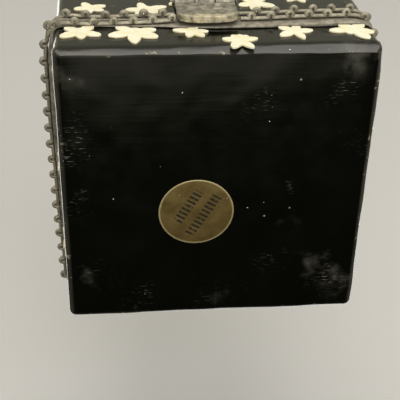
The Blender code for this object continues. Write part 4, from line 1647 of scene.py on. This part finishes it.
def hinge_leaf(name, node, body, own, upwards):
    low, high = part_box(node)
    spans = spans_along_x(low[0], high[0], HINGE_KNUCKLES, KNUCKLE_GAP)
    near = HALF + 0.2 * MM
    far = near + LEAF_THICKNESS
    axis_y, axis_z = hinge_axis[1], hinge_axis[2]
    edge = 0.3 * MM
    if upwards:
        leaf_low, leaf_high = axis_z + edge, high[2]
        neck_z = (axis_z + edge, axis_z + HINGE_KNUCKLE - 0.2 * MM)
    else:
        leaf_low, leaf_high = low[2], axis_z - edge
        neck_z = (axis_z - HINGE_KNUCKLE + 0.2 * MM, axis_z - edge)
    pieces = [block((low[0], near, leaf_low), (high[0], far, leaf_high))]
    for first, last in spans[own::2]:
        pieces.append(rod_along_x(first, last, axis_y, axis_z, HINGE_KNUCKLE))
        pieces.append(
            block(
                (first + 0.1 * MM, near + 0.1 * MM, neck_z[0]),
                (last - 0.1 * MM, axis_y, neck_z[1]),
            )
        )
    piece = join_pieces(name, pieces)
    one_skin(piece, 0.13 * MM, 4)
    roughen(piece, 2.2 * MM, 0.12 * MM)
    close_up(piece, 60)
    belongs(piece, body, "aged_pewter", PEWTER, node)
    print(f"{name}: {len(piece.data.polygons)} faces")


hinge_leaf("hinge_leaf_body", "hinge_body_leaf", "body", 0, False)
hinge_leaf("hinge_leaf_lid", "hinge_lid_leaf", "lid", 1, True)

# %% [markdown]
# ## Nails, stud and pins
#
# The nails are drawn steel with a low domed head. One nail is modelled, as a squashed ball on a
# shank, and copied to the six places; the catch stud is the same with a wider head. A pin is a
# rod with a small upset head at each end.

# %% One nail, and its copies
NAIL_HEAD = 0.85 * MM
SHANK = 0.35 * MM


HEAD_HEIGHT = 0.46 * MM


def master_nail():
    """A nail that stands on the origin, with its head upwards."""
    clear_selection()
    bpy.ops.mesh.primitive_uv_sphere_add(
        segments=40, ring_count=20, radius=1, location=(0, 0, 0.02 * MM)
    )
    bpy.context.object.scale = (NAIL_HEAD, NAIL_HEAD, HEAD_HEIGHT)
    head = new_piece("head")
    cut_off(head, (0, 0, 0), (0, 0, -1))
    clear_selection()
    bpy.ops.mesh.primitive_cylinder_add(
        vertices=24, radius=SHANK, depth=3.4 * MM, location=(0, 0, -1.5 * MM)
    )
    shank = new_piece("shank")
    piece = join_pieces("nail_master", [head, shank])
    one_skin(piece, 0.07 * MM, 3)
    roughen(piece, 0.9 * MM, 0.08 * MM)
    close_up(piece, 60)
    return piece


HEAD_SEAT = 0.42 * MM  # from the node's outer end in to the underside of the head
STUD_WIDER = 1.35


def place_nail(master, node, body, sign, wider=1.0):
    low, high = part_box(node)
    head_top = high[1] if sign > 0 else low[1]
    make_active(master)
    bpy.ops.object.duplicate(linked=False)
    piece = bpy.context.object
    piece.name = piece.data.name = node + "_driven"
    seat = head_top - sign * HEAD_SEAT
    piece.matrix_world = (
        Matrix.Translation(((low[0] + high[0]) / 2, seat, (low[2] + high[2]) / 2))
        @ Matrix.Rotation(-sign * math.pi / 2, 4, "X")
        @ Matrix.Rotation(low[0] * 1000, 4, "Z")
        @ Matrix.Diagonal((wider, wider, 1, 1))
    )
    make_active(piece)
    bpy.ops.object.transform_apply(location=True, rotation=True, scale=True)
    belongs(piece, body, "dull_steel", STEEL, node)
    return piece


nail = master_nail()
for prefix, body, sign in (
    ("hinge_body", "body", 1), ("hinge_lid", "lid", 1), ("clasp", "lid", -1)
):
    for side_name in ("left", "right"):
        place_nail(nail, f"{prefix}_nail_{side_name}", body, sign)
place_nail(nail, "catch_stud", "body", -1, STUD_WIDER)
bpy.data.objects.remove(nail, do_unlink=True)
print("six nails and the catch stud")

# %% Pins
PIN_RADIUS = 0.45 * MM


def pin(name, node, body, axis):
    low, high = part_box(node)
    pieces = [
        rod_along_x(low[0] + 0.25 * MM, high[0] - 0.25 * MM, axis[1], axis[2], PIN_RADIUS, 28)
    ]
    for x in (low[0] + 0.3 * MM, high[0] - 0.3 * MM):
        clear_selection()
        bpy.ops.mesh.primitive_uv_sphere_add(
            segments=28, ring_count=14, radius=1, location=(x, axis[1], axis[2])
        )
        bpy.context.object.scale = (0.3 * MM, 0.7 * MM, 0.7 * MM)
        pieces.append(new_piece("upset_head"))
    piece = join_pieces(name, pieces)
    one_skin(piece, 0.1 * MM, 2)
    close_up(piece, 60)
    belongs(piece, body, "dull_steel", STEEL, node)
    return piece


pin("hinge_pin_drawn", "hinge_pin", "body", hinge_axis)
pin("clasp_pin_drawn", "clasp_pin", "lid", clasp_axis)
print("two pins")

# %% [markdown]
# ## Felt pads
#
# The floor and the underside of the lid are lined with card wrapped in felt. The card keeps the
# middle flat; the felt rounds over its edges and puckers a little where it is folded under at the
# corners. The pad is a grid with a rounded border, crowned by a fraction of a millimetre.

# %% Two padded cards
PAD_EDGE = 0.7 * MM
PAD_SLICES = 30  # the flat top is cut into squares, so that it can undulate


def felt_pad(name, node, body, face_up):
    low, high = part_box(node)
    middle = [(a + b) / 2 for a, b in zip(low, high)]
    clear_selection()
    bpy.ops.mesh.primitive_cube_add(size=1, location=middle)
    bpy.context.object.scale = [b - a for a, b in zip(low, high)]
    piece = new_piece(name)
    side = 1 if face_up else -1
    bpy.ops.object.mode_set(mode="EDIT")
    pick(piece, "EDGE", lambda edge: abs(edge.verts[0].co.z - edge.verts[1].co.z) > 0.5 * MM)
    bpy.ops.mesh.bevel(offset=1.6 * MM, segments=5, profile=0.5, affect="EDGES")
    pick(piece, "FACE", lambda face: face.normal.z * side > 0.9)
    bpy.ops.mesh.inset(thickness=2.0 * MM, depth=0)
    pick(
        piece,
        "EDGE",
        lambda edge: all((v.co.z - middle[2]) * side > 0 for v in edge.verts)
        and edge.calc_face_angle(0) > 0.8,
    )
    bpy.ops.mesh.bevel(offset=PAD_EDGE, segments=4, profile=0.5, affect="EDGES")
    bpy.ops.object.mode_set(mode="OBJECT")
    half = (high[0] - low[0]) / 2
    sliced = bmesh.new()
    sliced.from_mesh(piece.data)
    for i in range(1, PAD_SLICES):
        for across in (Vector((1, 0, 0)), Vector((0, 1, 0))):
            bmesh.ops.bisect_plane(
                sliced,
                geom=sliced.verts[:] + sliced.edges[:] + sliced.faces[:],
                dist=0.001 * MM,
                plane_co=across * half * (2 * i / PAD_SLICES - 1),
                plane_no=across,
            )
    sliced.to_mesh(piece.data)
    sliced.free()
    for vert in piece.data.vertices:
        if (vert.co.z - middle[2]) * side > 0:
            inwards = min(half - abs(vert.co.x), half - abs(vert.co.y))
            settle = math.exp(-inwards / (3.0 * MM))
            pucker = noise.noise(Vector((vert.co.x, vert.co.y, 0)) * per(2.4)) * 0.10 * MM * settle
            vert.co.z += side * (pucker - 0.12 * MM * settle)
    roughen(piece, 7 * MM, 0.10 * MM)
    close_up(piece, 60)
    belongs(piece, body, "black_felt", FELT, node)
    print(f"{name}: {len(piece.data.polygons)} faces")


felt_pad("floor_felt_pad", "body_floor_pad", "body", True)
felt_pad("lid_felt_pad", "lid_lining_pad", "lid", False)

# %% [markdown]
# ## Floor, backdrop and light
#
# The box stands on a plain pale floor, which is only there when looked at from above. A plain
# pale sheet stands well behind its back, so that the open lid clears it, and is only there when
# looked at from in front. Both are single faces whose back is see-through, and neither blocks
# light nor shows in the lacquer.

# %% One-sided pale sheets
FLOOR_GAP = 0.3 * MM
LID_SWING = 52 * MM  # room behind the hinge for the open lid, with some air
SHEET_SIZE = 2.4


def pale_paper():
    material, tree = new_material("pale_matte_paper")
    geometry = add(tree, "NewGeometry", take="Backfacing")
    clear = add(tree, "BsdfTransparent")
    matte = add(tree, "BsdfDiffuse", {"Color": linear("#C4C3C2"), "Roughness": 0.6})
    shader = add(tree, "MixShader", {0: geometry, 1: matte, 2: clear})
    add(tree, "OutputMaterial", {"Surface": shader})
    return material


PAPER = pale_paper()


def stage_sheet(name, place, turn):
    clear_selection()
    bpy.ops.mesh.primitive_plane_add(size=SHEET_SIZE, location=place, rotation=turn)
    sheet = new_piece(name)
    sheet.data.materials.append(PAPER)
    sheet.visible_shadow = False
    sheet.visible_glossy = False
    sheet.visible_diffuse = False
    sheet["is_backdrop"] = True
    return sheet


back_of_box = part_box("hinge_lid_leaf")[HIGH][1]
stage_sheet("floor", (0, 0, -FLOOR_GAP), (0, 0, 0))
stage_sheet("backdrop", (0, back_of_box + LID_SWING, 0), (math.pi / 2, 0, 0))
print("floor and backdrop")

# %% [markdown]
# The light is one broad softbox below and in front, which lights the front wall and draws the
# bright line along the rounded edge, and a weaker one overhead for the lid. The room itself is a
# soft gradient: pale to the camera, and for reflections darker where the lacquer should stay
# deep.

# %% Softboxes
def softbox(name, direction, distance, size, watts, colour):
    bpy.ops.object.light_add(type="AREA", location=Vector(direction).normalized() * distance)
    light = bpy.context.object
    light.name = name
    light.data.shape = "RECTANGLE"
    light.data.size, light.data.size_y = size
    light.data.energy = watts
    light.data.color = linear(colour)[:3]
    light.rotation_euler = (-light.location).to_track_quat("-Z", "Y").to_euler()
    return light


softbox("key_from_below_front", (0.10, -0.50, -0.86), 0.75, (0.95, 0.85), 6.5, "#FFFCF6")
softbox("front", (0.05, -1.0, 0.02), 0.85, (0.9, 1.05), 6.6, "#FFFBF4")
softbox("overhead", (-0.25, 0.50, 1.0), 0.80, (0.7, 0.6), 3.0, "#FFFDF8")
softbox("behind", (0.35, 1.0, 0.70), 0.90, (0.5, 0.5), 1.6, "#F4F7FF")
print("four softboxes")

# %% The room
def soft_room():
    world = bpy.data.worlds.new("soft_room")
    bpy.context.scene.world = world
    world.use_nodes = True
    tree = world.node_tree
    tree.nodes.clear()
    heading = add(tree, "TexCoord", take="Generated")
    height = add(tree, "SeparateXYZ", {"Vector": heading}, take="Z")
    low_glow = add(
        tree,
        "MapRange",
        {"Value": height, "From Min": -0.884, "From Max": -0.912, "To Min": 0.015, "To Max": 0.62},
        interpolation_type="SMOOTHSTEP",
    )
    side_glow = add(
        tree,
        "MapRange",
        {"Value": height, "From Min": -0.6, "From Max": 0.3, "To Min": 0.0, "To Max": 0.5},
        interpolation_type="SMOOTHSTEP",
    )
    depth = add(tree, "SeparateXYZ", {"Vector": heading}, take="Y")
    in_front = add(
        tree,
        "MapRange",
        {"Value": depth, "From Min": 0.25, "From Max": 0.55, "To Min": 1.0, "To Max": 0.12},
    )
    side_glow = add(tree, "Math", {0: side_glow, 1: in_front}, operation="MULTIPLY")
    level = add(tree, "Math", {0: low_glow, 1: side_glow}, operation="ADD")
    dim = add(tree, "Background", {"Color": linear("#EEEAD0"), "Strength": level})
    pale = add(tree, "Background", {"Color": linear("#E6E4DF"), "Strength": 1.0})
    seen = add(tree, "LightPath", take="Is Camera Ray")
    shader = add(tree, "MixShader", {0: seen, 1: dim, 2: pale})
    add(tree, "OutputWorld", {"Surface": shader})
    return world


soft_room()
bpy.context.scene.view_settings.view_transform = "Standard"
print("room set")

# %% [markdown]
# ## Measure and finish
#
# The boxes of the frame and of the visual model are measured, and their sizes printed side by side.
# The visual model has to stay inside the frame's box, apart from a few hundredths of each side.

# %% Compare the two boxes
visual_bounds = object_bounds()
boxes = {
    "cad": [list(corner) for corner in cad_bounds],
    "visual": [list(corner) for corner in visual_bounds],
}
for name, (low, high) in boxes.items():
    print(name, [round((b - a) / MM, 1) for a, b in zip(low, high)], "mm")
